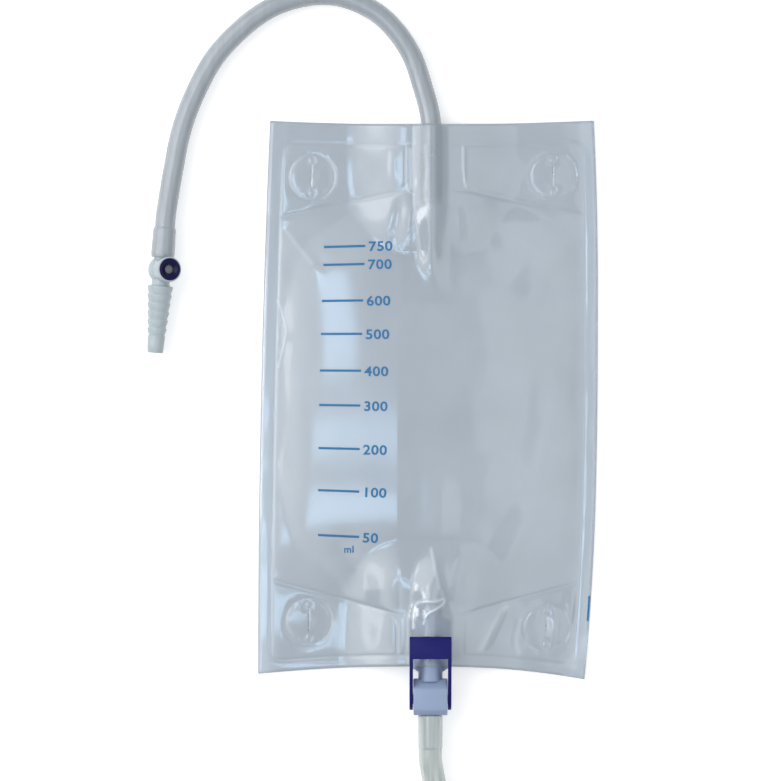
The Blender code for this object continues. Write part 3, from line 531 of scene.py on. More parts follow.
def fold_rise(x, y):
    """The height that the folds add to the front sheet: flanks that meet in a crest, with soft feet."""
    total = 0.0
    for start, end, bow, near_width, far_width, rise in FOLDS.values():
        run_x, run_y = end[0] - start[0], end[1] - start[1]
        span = math.hypot(run_x, run_y)
        along = ((x - start[0]) * run_x + (y - start[1]) * run_y) / span**2
        if not 0 < along < 1:
            continue
        swell = math.sin(math.pi * along)
        side = (run_x * (y - start[1]) - run_y * (x - start[0])) / span - bow * swell
        width = far_width if side > 0 else near_width
        flank = 1 - math.hypot(side, 0.0005) / width
        if flank > 0:
            ends = eased(0, 0.3, along) * eased(1, 0.7, along)
            total += rise * ends * 1.15 * flank**2 / (flank + 0.15)
    return total


def off_line(x, y, points, reach):
    """The distance from a point to a line through points, or the reach where it is farther off."""
    least = reach
    for start, end in zip(points, points[1:]):
        if not min(start[1], end[1]) - reach < y < max(start[1], end[1]) + reach:
            continue
        run_x, run_y = end[0] - start[0], end[1] - start[1]
        along = ((x - start[0]) * run_x + (y - start[1]) * run_y) / (run_x**2 + run_y**2)
        along = min(max(along, 0), 1)
        least = min(least, math.hypot(x - start[0] - along * run_x, y - start[1] - along * run_y))
    return least


def crease_lines():
    """Each crease's half width, painted highlight, rise, smooth line and the line's box."""
    lines = []
    for half, highlight, height, points in CREASES.values():
        line = [point.xy for point in smooth_route([(x, y, 0) for x, y in points], 3 * len(points))]
        xs, ys = [point.x for point in line], [point.y for point in line]
        lines.append((half, highlight, height, line, (min(xs), max(xs), min(ys), max(ys))))
    return lines


def near_creases(x, y, reach):
    """Each crease that passes within the reach times its half width, and the distance in half widths."""
    for half, highlight, height, line, (left, right, low, high) in CREASE_LINES:
        most = reach * half
        if left - most < x < right + most and low - most < y < high + most:
            away = off_line(x, y, line, most) / half
            if away < reach:
                yield highlight, height, away


def creases(x, y):
    """The painted highlight and the rise of the sharp creases at a point of the sheet."""
    # white holds the strongest painted highlight of the creases at this point.
    white = rise = 0.0
    for highlight, height, away in near_creases(x, y, 3):
        share = math.exp(-(away**2))
        white = max(white, highlight * share)
        rise = max(rise, height * share)
    return white, rise


def seam_height(x, y):
    """The height of the plane in which the sheets meet: up at the tube and the tap, and down elsewhere."""
    end = end_at(y)
    along = eased(end.tip_y + end.inward * 0.040, end.tip_y + end.inward * 0.002, y)
    wave = MARGIN_WAVE * (1 + noise.noise((x / MARGIN_WAVE_PITCH, y / MARGIN_WAVE_PITCH, 9.0)))
    run_out = eased(end.foot, end.foot + SEAM_RUN_OUT, abs(x - between("x", y)))
    return SEAM_Z + (end.z - SEAM_Z) * along * (1 - run_out) + wave * run_out


def sheet_heights(x, y, film):
    """The middle of the back sheet and of the front sheet over a point of the table."""
    puff = max(fullness(x, y, film), 0)
    insert = insert_fullness(x, y)
    apart = film.thickness + film.weld_gap + math.hypot(puff, insert**2 / (insert + GAP))
    back = max(film.thickness / 2, seam_height(x, y) - apart / 2)
    frame_weld, above, below = weld_distances(x, y)
    clear = min(abs(frame_weld), abs(above), abs(below)) - film.weld_width / 2
    lifted = fold_rise(x, y) * eased(0, 0.0020, clear) + creases(x, y)[1] + lip_rise(x, y)
    return back, back + max(apart + lifted, film.thickness + film.weld_gap)


def over_insert(x, y):
    """How far the inlet tube or the tap shows through the sheet that is pressed against it."""
    away = abs(x - between("x", y))
    if y > 0:
        beside = eased(INLET_TUBE_RADIUS + 0.0012, INLET_TUBE_RADIUS - 0.0002, away)
        return INLET_SHOWN * beside * eased(INLET_TUBE_END_Y - 0.0025, INLET_TUBE_END_Y + 0.0035, y)
    narrowing = eased(BOAT_TOP_Y - 0.001, BOAT_TOP_Y + 0.002, y)
    half = BOAT_HALF_WIDTH + (NECK_RADIUS - BOAT_HALF_WIDTH) * narrowing
    shown = SPIGOT_SHOWN * eased(SPIGOT_TOP_Y + 0.001, SPIGOT_TOP_Y - 0.006, y)
    shown += BOAT_SHOWN * eased(BOAT_SHOWN_FROM, BOAT_SHOWN_TO, y)
    return eased(half + 0.0008, half - 0.0016, away) * shown


def sides_of(*welds):
    """The places on both sides of each weld."""
    return [place for weld in welds for place in (weld - WELD_ZONE, weld + WELD_ZONE)]


def key_columns(y):
    """The places across the sheet at height y that its grid follows."""
    left, right, axis = left_edge(y), right_edge(y), between("x", y)
    before = sides_of(left + SIDE_WELD_INSET, axis - between("neck_left", y))
    after = sides_of(axis + between("neck_right", y), right - SIDE_WELD_INSET)
    return [left, *before, axis, *after, right]


def key_rows(x):
    """The places along the sheet at x that its grid follows."""
    top, bottom = top_edge(x), bottom_edge(x)
    ears = ear_line(TAP_END, x), ear_line(INLET_END, x)
    return [bottom, *sides_of(bottom + BOTTOM_WELD_INSET, *ears, top - TOP_WELD_INSET), top]


def grid_steps(lines, cell, fine_cell, fine_spans):
    """The grid's steps as pairs of a span's number and the share of it, finer along the welds."""
    steps = [(0, 0.0)]
    for span, (low, high) in enumerate(zip(lines, lines[1:])):
        size = fine_cell if span in fine_spans else cell
        count = max(1, round((high - low) / size))
        steps += [(span, step / count) for step in range(1, count + 1)]
    return steps


def place_on(lines, step):
    span, share = step
    return lines[span] + share * (lines[span + 1] - lines[span])


def needs_fine_cells(x, y):
    """True near the creases and near the eyelets' pressed rings and slits."""
    if any(near_creases(x, y, 2)):
        return True
    _, across, along, away = nearest_eyelet(x, y)
    if abs(away - EYELET_RADIUS) < EYELET_GROOVE / 2 + 2.2 * EYELET_WALL:
        return True
    end = math.hypot(across, abs(along) - SLIT_RING_PLACE)
    return away < EYELET_RADIUS and (end < 1.6 * SLIT_RING_RADIUS or abs(across) < 2 * SLIT_RING_RADIUS / 3)


def flat_sheet(cell, passes):
    """A flat grid of the sheet, laid along its welds and finer where small shapes are pressed into it."""
    fine = cell / 4
    columns = grid_steps(key_columns(0), cell, fine, {1, 3, 6, 8})
    rows = grid_steps(key_rows(0), cell, fine, {1, 3, 5, 7})
    wide, tall = len(columns) - 1, len(rows) - 1
    bm = bmesh.new()
    bmesh.ops.create_grid(bm, x_segments=wide, y_segments=tall, size=1)
    for vert in bm.verts:
        column = columns[round((vert.co.x + 1) / 2 * wide)]
        row = rows[round((vert.co.y + 1) / 2 * tall)]
        x, y = place_on(key_columns(0), column), 0
        for _ in range(3):
            y = place_on(key_rows(x), row)
            x = place_on(key_columns(y), column)
        vert.co = (x, y, 0)
    for _ in range(passes):
        edges = []
        for edge in bm.edges:
            middle = (edge.verts[0].co + edge.verts[1].co) / 2
            if edge.calc_length() > 1.5 * fine and needs_fine_cells(middle.x, middle.y):
                edges.append(edge)
        bmesh.ops.subdivide_edges(bm, edges=edges, cuts=1, use_grid_fill=True)
    return bm


def cut_slits(bm):
    """Cuts each eyelet's slit along its middle and draws the two lips a little apart."""
    for centre_x, centre_y in EYELETS.values():
        near = [
            face
            for face in bm.faces
            if math.dist(face.calc_center_median()[:2], (centre_x, centre_y)) < EYELET_RADIUS
        ]
        geometry = {item for face in near for item in (face, *face.edges, *face.verts)}
        made = bmesh.ops.bisect_plane(
            bm, geom=list(geometry), dist=1e-7, plane_co=(centre_x, 0, 0), plane_no=(1, 0, 0)
        )
        slit = [
            edge
            for edge in made["geom_cut"]
            if isinstance(edge, bmesh.types.BMEdge)
            and all(abs(vert.co.y - centre_y) < SLIT_HALF for vert in edge.verts)
        ]
        bmesh.ops.split_edges(bm, edges=slit)
        for vert in bm.verts:
            along = abs(vert.co.y - centre_y) / SLIT_HALF
            if along < 1 and abs(vert.co.x - centre_x) < 1e-6 and vert.is_boundary:
                side = sum(face.calc_center_median().x - centre_x for face in vert.link_faces)
                vert.co.x += math.copysign(SLIT_GAP, side) * (1 - along**2)
    many_sided = [face for face in bm.faces if len(face.verts) > 4]
    bmesh.ops.triangulate(bm, faces=many_sided)


def placed(name, data):
    """A new object of the data in the scene."""
    obj = bpy.data.objects.new(name, data)
    bpy.context.scene.collection.objects.link(obj)
    return obj


def mesh_of(name, bm):
    mesh = bpy.data.meshes.new(name)
    bm.to_mesh(mesh)
    bm.free()
    return mesh


def finish_mesh(name, bm, material, body, replaced=(), sharp=35):
    """The bmesh as a smooth-shaded piece that rides on a body."""
    mesh = mesh_of(name, bm)
    mesh.shade_smooth()
    mesh.set_sharp_from_angle(angle=math.radians(sharp))
    mesh.materials.append(material)
    obj = placed(name, mesh)
    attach(obj, body)
    if replaced:
        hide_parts(*replaced)
    return obj


def film_piece(name, bm, material, replaced, thickness):
    """The bmesh as a closed film of the thickness."""
    bmesh.ops.recalc_face_normals(bm, faces=bm.faces)
    piece = finish_mesh(name, bm, material, "bag", (replaced,), sharp=60)
    wall = piece.modifiers.new("film", "SOLIDIFY")
    wall.thickness = thickness
    wall.offset = 0
    return piece


def sheet_piece(side, film):
    """The front or the back sheet of the pouch."""
    full, quick, passes = FILM_CELLS[side]
    bm = flat_sheet(full, passes)
    cut_slits(bm)
    pouch, pressed, crease_highlight = (bm.verts.layers.float.new(name) for name in ("open", "pressed", "crease_highlight"))
    for vert in bm.verts:
        x, y = vert.co.x, vert.co.y
        # Painted light and shade: the open share is 0 where the pale rim colour is painted on the flat rim
        # lying on the table, fully at the lower left and partly on the right. It is 1 where the darker sheet
        # colour is painted over the full pouch.
        rim = min(x - left_edge(y), right_edge(y) - x)
        high = eased(-0.02, 0.12, y) if x < 0 else 0.6
        vert[pouch] = max(eased(0.002, 0.009, rim), 0.8 * high)
        vert[pressed] = over_insert(x, y)
        # Painted highlights along the creases of the front sheet.
        vert[crease_highlight] = creases(x, y)[0] if side == "front" else 0
        vert.co.z = sheet_heights(x, y, film)[side == "front"]
    material = film_finish(f"{side} film", film)
    return film_piece(f"{side}_sheet", bm, material, f"{side}_film", film.thickness)


def set_inputs(node, values):
    for name, value in values.items():
        node.inputs[name].default_value = value


def new_finish(name, colour, roughness, specular=0.5, alpha=1.0, ior=1.5):
    """A Principled material with the values that are the same all over it set on its own sockets."""
    made = bpy.data.materials.new(name)
    made.use_nodes = True
    shader = made.node_tree.nodes["Principled BSDF"]
    set_inputs(shader, {"Base Color": (*colour, 1.0), "Roughness": roughness, "Alpha": alpha, "IOR": ior})
    set_inputs(shader, {"Specular IOR Level": specular})
    return made, shader


def add_coat(shader, weight, roughness, ior):
    """A thin glossy skin over the softer body of the plastic."""
    set_inputs(shader, {"Coat Weight": weight, "Coat Roughness": roughness, "Coat IOR": ior})


def add_node(material, kind, **values):
    node = material.node_tree.nodes.new(kind)
    for name, value in values.items():
        if name in node.inputs:
            node.inputs[name].default_value = value
        else:
            setattr(node, name, value)
    return node


def link(material, output, socket):
    material.node_tree.links.new(output, socket)


def object_noise(material, scale, detail=2.0, stretch=(1, 1, 1)):
    """Noise over the object's own coordinates, in features of about 1/scale metres."""
    place = add_node(material, "ShaderNodeTexCoord")
    mapping = add_node(material, "ShaderNodeMapping", Scale=stretch)
    pattern = add_node(material, "ShaderNodeTexNoise", Scale=scale, Detail=detail)
    link(material, place.outputs["Object"], mapping.inputs["Vector"])
    link(material, mapping.outputs["Vector"], pattern.inputs["Vector"])
    return pattern.outputs["Fac"]


def greatest(material, first, *others):
    """The greatest of several nodes' outputs."""
    for other in others:
        most = add_node(material, "ShaderNodeMath", operation="MAXIMUM")
        link(material, first, most.inputs[0])
        link(material, other, most.inputs[1])
        first = most.outputs[0]
    return first


def blend_colours(material, share, first, second):
    """The mixed colour's output. Each of first and second is a colour or another node's output."""
    mix = add_node(material, "ShaderNodeMix", data_type="RGBA")
    link(material, share, mix.inputs[0])
    mixed = [socket for socket in mix.inputs if socket.type == "RGBA"]
    for socket, value in zip(mixed, (first, second)):
        if isinstance(value, bpy.types.NodeSocket):
            link(material, value, socket)
        else:
            socket.default_value = (*value, 1.0)
    return next(socket for socket in mix.outputs if socket.type == "RGBA")


def ranged(material, value, low, high, from_low=0.35, from_high=0.65):
    """The value spread over a new range."""
    spread = add_node(material, "ShaderNodeMapRange")
    set_inputs(spread, {"From Min": from_low, "From Max": from_high, "To Min": low, "To Max": high})
    link(material, value, spread.inputs["Value"])
    return spread.outputs["Result"]


def clouded(material, scale, first, second):
    """A colour that drifts between two in soft clouds."""
    cloud = ranged(material, object_noise(material, scale), 0.0, 1.0, 0.2, 0.8)
    return blend_colours(material, cloud, first, second)


def roughen(material, shader, roughness, spread, pattern):
    """Roughness that rises and falls by a share of itself."""
    uneven = ranged(material, pattern, roughness * (1 - spread), roughness * (1 + spread))
    link(material, uneven, shader.inputs["Roughness"])


def emboss(material, shader, grain, strength, depth):
    """Fine unevenness of the surface."""
    bump = add_node(material, "ShaderNodeBump", Strength=strength, Distance=depth)
    link(material, object_noise(material, grain), bump.inputs["Height"])
    link(material, bump.outputs["Normal"], shader.inputs["Normal"])


def film_finish(name, film):
    """Satin clear PVC: paler at the flat rim, a little cloudy, with the fine grain of a rolled sheet. The
    pale rim is painted light, the darker pouch is painted shade, and the creases carry painted highlights.
    """
    material, shader = new_finish(name, film.colour, 0.3, alpha=film.opacity, ior=1.54)
    add_coat(shader, 1.0, film.gloss_roughness, 1.85)
    pouch, pressed, crease_highlight = (
        add_node(material, "ShaderNodeAttribute", attribute_name=name).outputs["Fac"]
        for name in ("open", "pressed", "crease_highlight")
    )
    paler = [min(1.0, part * 1.16) for part in film.colour]
    # Painted light and shade: the open share mixes the pale rim colour in at the flat rim and keeps the
    # darker, cloudy sheet colour over the full pouch.
    colour = blend_colours(material, pouch, film.rim_colour, clouded(material, 30, film.colour, paler))
    # Painted highlights: the crease share mixes the crease colour in and makes the sheet more opaque along
    # the creases.
    highlighted = blend_colours(material, crease_highlight, colour, film.crease_colour)
    link(material, highlighted, shader.inputs["Base Color"])
    clear = ranged(material, pressed, film.opacity, film.pressed_opacity, 0.0, 1.0)
    link(material, greatest(material, clear, crease_highlight), shader.inputs["Alpha"])
    roughen(material, shader, film.roughness, 0.15, object_noise(material, 70))
    emboss(material, shader, 700, 0.06, 0.0002)
    return material


def tube_finish(name, colour, tubes, gloss, clearness):
    """Soft milky PVC tube with a glossy skin, faint clouds in its wall and clearer streaks along it."""
    material, shader = new_finish(name, colour, tubes.roughness, alpha=tubes.opacity, ior=1.52)
    add_coat(shader, gloss, tubes.gloss_roughness / gloss**2, 1.8)
    streaks = object_noise(material, 420, 1.0, (1, 0.03, 0.5))
    opacity = ranged(material, streaks, tubes.opacity - clearness, tubes.opacity)
    link(material, opacity, shader.inputs["Alpha"])
    darker = [part * 0.93 for part in colour]
    link(material, clouded(material, 50, darker, colour), shader.inputs["Base Color"])
    roughen(material, shader, tubes.roughness, 0.10, object_noise(material, 150, 3.0))
    emboss(material, shader, 500, 0.05, 0.0002)
    return material


def moulded_finish(name, colour, roughness, shade=0.93, grain=900, specular=0.5):
    """Moulded plastic: faint flow clouds, uneven gloss and a fine surface."""
    material, shader = new_finish(name, colour, roughness, specular=specular)
    darker = [part * shade for part in colour]
    link(material, clouded(material, 90, darker, colour), shader.inputs["Base Color"])
    roughen(material, shader, roughness, 0.06, object_noise(material, 200))
    emboss(material, shader, grain, 0.02, 0.0001)
    return material


def smooth_route(route, count):
    """Points evenly numbered along a smooth curve through the route's points."""
    points = [Vector(p) for p in route]
    points = [2 * points[0] - points[1], *points, 2 * points[-1] - points[-2]]
    spans = len(points) - 3
    found = []
    for step in range(count + 1):
        place = step / count * spans
        k = min(int(place), spans - 1)
        t = place - k
        a, b, c, d = points[k : k + 4]
        bend = (2 * a - 5 * b + 4 * c - d) * t * t + (3 * b - a - 3 * c + d) * t**3
        found.append((2 * b + (c - a) * t + bend) / 2)
    return found


def cross_frames(points):
    """Two directions across a path at each of its points, which follow it without a twist."""
    frames = []
    side = None
    for k in range(len(points)):
        ahead = (points[min(k + 1, len(points) - 1)] - points[max(k - 1, 0)]).normalized()
        side = ahead.orthogonal() if side is None else side
        side = (side - ahead * side.dot(ahead)).normalized()
        frames.append((side, ahead.cross(side)))
    return frames


def hollow_tube(points, radii, wall, sides):
    """A round tube through the points, with its own radius at each, an even wall and rounded rims."""
    frames = cross_frames(points)
    rim = wall / 4
    last = len(points) - 1
    outer = [(points[k], radii[k], k) for k in range(len(points))]
    start = (points[1] - points[0]).normalized() * rim
    finish = (points[-1] - points[-2]).normalized() * rim
    stations = [(points[0], radii[0] - rim, 0), (points[0] + start, radii[0], 0), *outer[1:-1]]
    stations += [(points[-1] - finish, radii[-1], last), (points[-1], radii[-1] - rim, last)]
    stations += [(point, radius - wall, k) for point, radius, k in reversed(outer)]

    bm = bmesh.new()
    ring = bmesh.ops.create_circle(bm, cap_ends=False, segments=sides, radius=1)["verts"]
    ring = [(vert, vert.co.copy()) for vert in ring]
    edges = bm.edges[:]
    for number, (point, radius, k) in enumerate(stations):
        if number:
            made = bmesh.ops.extrude_edge_only(bm, edges=edges)["geom"]
            fresh = {item for item in made if isinstance(item, bmesh.types.BMVert)}
            edges = [
                item
                for item in made
                if isinstance(item, bmesh.types.BMEdge) and all(vert in fresh for vert in item.verts)
            ]
            ring = [
                (next(e.other_vert(vert) for e in vert.link_edges if e.other_vert(vert) in fresh), flat)
                for vert, flat in ring
            ]
        across, up = frames[k]
        for vert, flat in ring:
            vert.co = point + (across * flat.x + up * flat.y) * radius
    bmesh.ops.bridge_loops(bm, edges=[edge for edge in bm.edges if edge.is_boundary])
    bmesh.ops.recalc_face_normals(bm, faces=bm.faces)
    return bm


CREASE_LINES = crease_lines()


def axis_frame(origin, direction):
    turn = Vector(direction).to_track_quat("Z", "Y").to_matrix().to_4x4()
    return Matrix.Translation(origin) @ turn


def connector_frame():
    direction = (-math.sin(CONNECTOR_TURN), -math.cos(CONNECTOR_TURN), 0)
    return axis_frame((*CONNECTOR_END, CONNECTOR_Z), direction)


def port_frame():
    centre = connector_frame() @ Vector((0, 0, BULGE_PLACE))
    return axis_frame(centre, (math.sin(PORT_TILT), 0, math.cos(PORT_TILT)))


def pivot_frame(direction=(1, 0, 0)):
    return axis_frame((TAP_X, PIVOT_Y, TAP_Z), direction)


def turned(profile, place, sides=64):
    """The closed outline of (radius, height) points turned about its axis, ring by ring, and put in place."""
    bm = bmesh.new()
    rings = []
    for radius, height in profile:
        turns = [2 * math.pi * side / sides for side in range(sides if radius else 1)]
        rings.append([bm.verts.new((radius * math.cos(t), radius * math.sin(t), height)) for t in turns])
    for low, high in zip(rings, rings[1:] + rings[:1]):
        if len(low) == len(high) == 1:
            continue
        for side in range(sides):
            after = (side + 1) % sides
            pairs = ((low, side), (low, after), (high, after), (high, side))
            bm.faces.new(list(dict.fromkeys(ring[k % len(ring)] for ring, k in pairs)))
    bmesh.ops.transform(bm, matrix=place, verts=bm.verts)
    bmesh.ops.recalc_face_normals(bm, faces=bm.faces)
    return bm


def risen(outline):
    """The outline as a face, joined by a wall to a second one, and the second one's points."""
    bm = bmesh.new()
    face = bm.faces.new([bm.verts.new(point) for point in outline])
    made = bmesh.ops.extrude_face_region(bm, geom=[face])
    return bm, [item for item in made["geom"] if isinstance(item, bmesh.types.BMVert)]


def prism(outline, low, high, place, bevel=0.0, segments=3):
    """A closed prism on the outline, with its edges rounded."""
    bm, top = risen([place(u, v, low) for u, v in outline])
    shift = Vector(place(0, 0, high)) - Vector(place(0, 0, low))
    bmesh.ops.translate(bm, verts=top, vec=shift)
    bmesh.ops.recalc_face_normals(bm, faces=bm.faces)
    if bevel:
        bmesh.ops.bevel(
            bm,
            geom=[edge for edge in bm.edges if edge.calc_face_angle(0) > math.radians(20)],
            offset=bevel,
            offset_type="OFFSET",
            segments=segments,
            profile=0.5,
            affect="EDGES",
            clamp_overlap=True,
            material=-1,
        )
    return bm


def rod(radius, low, high, place, sides=64):
    bm = bmesh.new()
    size = {"radius1": radius, "radius2": radius, "depth": high - low}
    bmesh.ops.create_cone(bm, cap_ends=True, segments=sides, **size)
    bmesh.ops.translate(bm, verts=bm.verts, vec=(0, 0, (low + high) / 2))
    bmesh.ops.transform(bm, matrix=place, verts=bm.verts)
    return bm


def shaped(base, *steps):
    """The base bmesh with the bmesh of each step joined to it or cut out of it."""
    work = placed("work", mesh_of("work", base))
    for operation, other in steps:
        tool = placed("tool", mesh_of("tool", other))
        modifier = work.modifiers.new("shape", "BOOLEAN")
        modifier.operation = operation
        modifier.solver = "EXACT"
        modifier.object = tool
        seen = work.evaluated_get(bpy.context.evaluated_depsgraph_get())
        mesh = bpy.data.meshes.new_from_object(seen)
        work.modifiers.clear()
        old, work.data = work.data, mesh
        bpy.data.meshes.remove(old)
        bpy.data.objects.remove(tool, do_unlink=True)
    bm = bmesh.new()
    bm.from_mesh(work.data)
    bpy.data.objects.remove(work, do_unlink=True)
    bmesh.ops.remove_doubles(bm, verts=bm.verts, dist=1e-6)
    return bm


def connector_profile():
    """The connector's outer side from its spigot to its tip, then back along its axis."""
    spigot, lip, soft = CONNECTOR_SPIGOT_RADIUS, 0.0006, 0.0003
    outer = [(spigot - lip, 0.0), (spigot - lip / 3, lip / 2), (spigot, 2 * lip)]
    start = -math.sqrt(BULGE_RADIUS**2 - spigot**2)
    end = math.sqrt(BULGE_RADIUS**2 - CONNECTOR_NECK_RADIUS**2)
    bulge_steps = 24
    for step in range(bulge_steps + 1):
        along = start + (end - start) * step / bulge_steps
        outer.append((math.sqrt(BULGE_RADIUS**2 - along**2), BULGE_PLACE + along))
    outer.append((CONNECTOR_NECK_RADIUS, CONE_START - 0.0008))
    outer.append((CONNECTOR_NECK_RADIUS + 0.0005, CONE_START - 0.0003))

    def cone(along):
        return CONE_ROOT_RADIUS + (CONE_TIP_RADIUS - CONE_ROOT_RADIUS) * along / CONE_LENGTH

    for barb in range(BARB_COUNT):
        along = barb * BARB_PITCH
        foot = CONE_START + along
        outer.append((cone(along) - soft, foot - soft / 2))
        outer.append((cone(along) - soft / 4, foot + soft / 2))
        outer.append((cone(along) - soft / 4, foot + 2 * soft))
        outer.append((cone(along + BARB_PITCH) - BARB_DEPTH, foot + BARB_PITCH - 2 * soft))
    last = BARB_COUNT * BARB_PITCH
    outer.append((cone(last) - soft / 2, CONE_START + last))
    end = CONE_START + CONE_LENGTH
    tip = [(0.0, 0.0005), (0.0002, 0.0001), (0.0005, 0.0)]
    outer += [(CONE_TIP_RADIUS - inwards, end - back) for inwards, back in tip]
    return outer + [(0.0, end), (0.0, 0.0)]


def bore_profile():
    """The connector's bore, flared at the tip. It runs on past both ends, so that it cuts them clean."""
    end, past, flare = CONE_START + CONE_LENGTH, 0.001, 0.0002
    flared = [(CONNECTOR_BORE, end - flare), (CONNECTOR_BORE + flare + past, end + past)]
    return [(0.0, -past), (CONNECTOR_BORE, -past), *flared, (0.0, end + past)]


def connector_solid():
    """The connector's body: turned along its axis, with the port's boss on top, its seats and the bore."""
    port = port_frame()
    foot = 0.0012
    boss_profile = [
        (0.0, 0.0),
        (PORT_RADIUS - 0.0002, 0.0),
        (PORT_RADIUS - 0.0002, 0.0035),
        (PORT_RADIUS, PORT_HEIGHT - foot),
        (PORT_RADIUS, PORT_HEIGHT - 0.0004),
        (PORT_RADIUS - 0.00012, PORT_HEIGHT - 0.00012),
        (PORT_RADIUS - 0.0004, PORT_HEIGHT),
        (0.0, PORT_HEIGHT),
    ]
    return shaped(
        turned(connector_profile(), connector_frame()),
        ("UNION", turned(boss_profile, port)),
        ("DIFFERENCE", rod(PORT_RING_RADIUS + 0.0001, PORT_SEAT, PORT_HEIGHT + 0.002, port)),
        ("DIFFERENCE", rod(SEPTUM_RADIUS + 0.0001, PORT_POCKET, PORT_HEIGHT + 0.001, port)),
        ("DIFFERENCE", turned(bore_profile(), connector_frame())),
    )


def ring_profile():
    """The port's ring: a rounded collar with a shallow funnel down to its hole."""
    low, high = PORT_SEAT + GAP, PORT_SEAT + PORT_RING_THICKNESS + 0.0002
    return [
        (PORT_RING_RADIUS, low),
        (PORT_HOLE_RADIUS, low),
        (PORT_HOLE_RADIUS, low + 0.0002),
        (PORT_FUNNEL_RADIUS - 0.0002, high - 0.0005),
        (PORT_FUNNEL_RADIUS + 0.0002, high - 0.0001),
        (PORT_FUNNEL_RADIUS + 0.0006, high),
        (PORT_RING_RADIUS - 0.0006, high),
        (PORT_RING_RADIUS - 0.0002, high - 0.0001),
        (PORT_RING_RADIUS, high - 0.0004),
    ]


def septum_profile():
    """The rubber disc, slightly domed under the ring's hole."""
    low, top, rise = PORT_POCKET + GAP, PORT_SEAT - GAP, 0.0005
    turns = [math.radians(angle) for angle in (0, 22, 45, 68)]
    dome = [(PORT_HOLE_RADIUS * math.cos(turn), top + rise * math.sin(turn)) for turn in turns]
    return [(0.0, low), (SEPTUM_RADIUS, low), (SEPTUM_RADIUS, top), *dome, (0.0, top + rise)]


def along_x(u, v, w):
    return (TAP_X + w, u, TAP_Z + v)


def along_y(u, v, w):
    return (TAP_X + u, w, TAP_Z + v)


def boat_outline():
    """The end view of the weld boat: a round middle with straight flanks down to thin tips."""
    slope = NECK_RADIUS / BOAT_FOOT
    touch = NECK_RADIUS * slope
    arc = [touch * step / 8 for step in range(-8, 9)]
    upper = [(x, math.sqrt(NECK_RADIUS**2 - x**2)) for x in arc]
    tip = tent(BOAT_HALF_WIDTH, NECK_RADIUS, BOAT_FOOT)
    upper = [(-BOAT_HALF_WIDTH, tip), *upper, (BOAT_HALF_WIDTH, tip)]
    return upper + [(x, -z) for x, z in reversed(upper)]


def block_outline():
    """The side view of the valve block, with its sloping shoulders at front and back."""
    deep, top, low = BLOCK_HALF_DEPTH, BLOCK_TOP_CHAMFER, BLOCK_BOTTOM_CHAMFER
    return [
        (BLOCK_TOP_Y, deep - top),
        (BLOCK_TOP_Y - top, deep),
        (BLOCK_BOTTOM_Y + low, deep),
        (BLOCK_BOTTOM_Y, deep - low),
        (BLOCK_BOTTOM_Y, low - deep),
        (BLOCK_BOTTOM_Y + low, -deep),
        (BLOCK_TOP_Y - top, -deep),
        (BLOCK_TOP_Y, top - deep),
    ]


def tap_solid():
    """The spigot, the weld boat with its sloping end, the valve block and the outlet, bored right through."""
    axis = axis_frame((TAP_X, 0, TAP_Z), (0, 1, 0))
    chamfer, narrow = risen([along_y(u, v, BOAT_BOTTOM_Y + 0.0005) for u, v in boat_outline()])
    bmesh.ops.translate(chamfer, verts=narrow, vec=(0, -0.0005 - BOAT_CHAMFER, 0))
    waist = Matrix.Diagonal((NECK_RADIUS / BOAT_HALF_WIDTH, 1, 1, 1))
    bmesh.ops.transform(chamfer, matrix=waist, space=Matrix.Translation((-TAP_X, 0, 0)), verts=narrow)
    bmesh.ops.recalc_face_normals(chamfer, faces=chamfer.faces)
    block = prism(block_outline(), -BLOCK_HALF_WIDTH, BLOCK_HALF_WIDTH, along_x, bevel=0.0005, segments=4)
    return shaped(
        rod(NECK_RADIUS, BLOCK_TOP_Y - 0.001, SPIGOT_TOP_Y, axis),
        ("UNION", prism(boat_outline(), BOAT_BOTTOM_Y, BOAT_TOP_Y, along_y)),
        ("UNION", chamfer),
        ("UNION", block),
        ("UNION", rod(OUTLET_SPIGOT_RADIUS, OUTLET_END_Y, BLOCK_BOTTOM_Y + 0.001, axis)),
        ("DIFFERENCE", rod(TAP_BORE, OUTLET_END_Y - 0.002, SPIGOT_TOP_Y + 0.002, axis)),
        ("DIFFERENCE", rod(PLUG_RADIUS + 0.0001, -0.012, 0.012, pivot_frame())),
    )


def plug_solid():
    return shaped(
        rod(PLUG_RADIUS, -BLOCK_HALF_WIDTH, BLOCK_HALF_WIDTH, pivot_frame()),
        ("UNION", rod(DRIVE_RADIUS, -LEVER_HALF_WIDTH, LEVER_HALF_WIDTH, pivot_frame(), sides=6)),
        ("DIFFERENCE", rod(PLUG_BORE, -0.008, 0.008, pivot_frame((0, 0, 1)))),
    )


def lever_outline():
    """The lever's side view: a round boss at the barrel, an arm over the pouch's edge, and the bar."""
    low, high, nose = LEVER_BAR_Z, LEVER_BAR_Z + LEVER_BAR_THICKNESS, 0.0022
    bar_end = PIVOT_Y + LEVER_REACH
    bar_start = bar_end - LEVER_BAR_LENGTH
    boss_steps = 32
    turns = [math.radians(110 + 190 * step / boss_steps) for step in range(boss_steps + 1)]
    boss = [
        (PIVOT_Y + LEVER_BOSS_RADIUS * math.cos(turn), LEVER_BOSS_RADIUS * math.sin(turn)) for turn in turns
    ]
    clear = (POUCH_BOTTOM - 0.001, LEVER_ARM_CLEAR_Z)
    top = [(bar_end, high - 0.0006), (bar_end - nose, high), (bar_start - LEVER_BAR_THICKNESS, high)]
    return [*top, *boss, clear, (bar_start, low), (bar_end, low)]


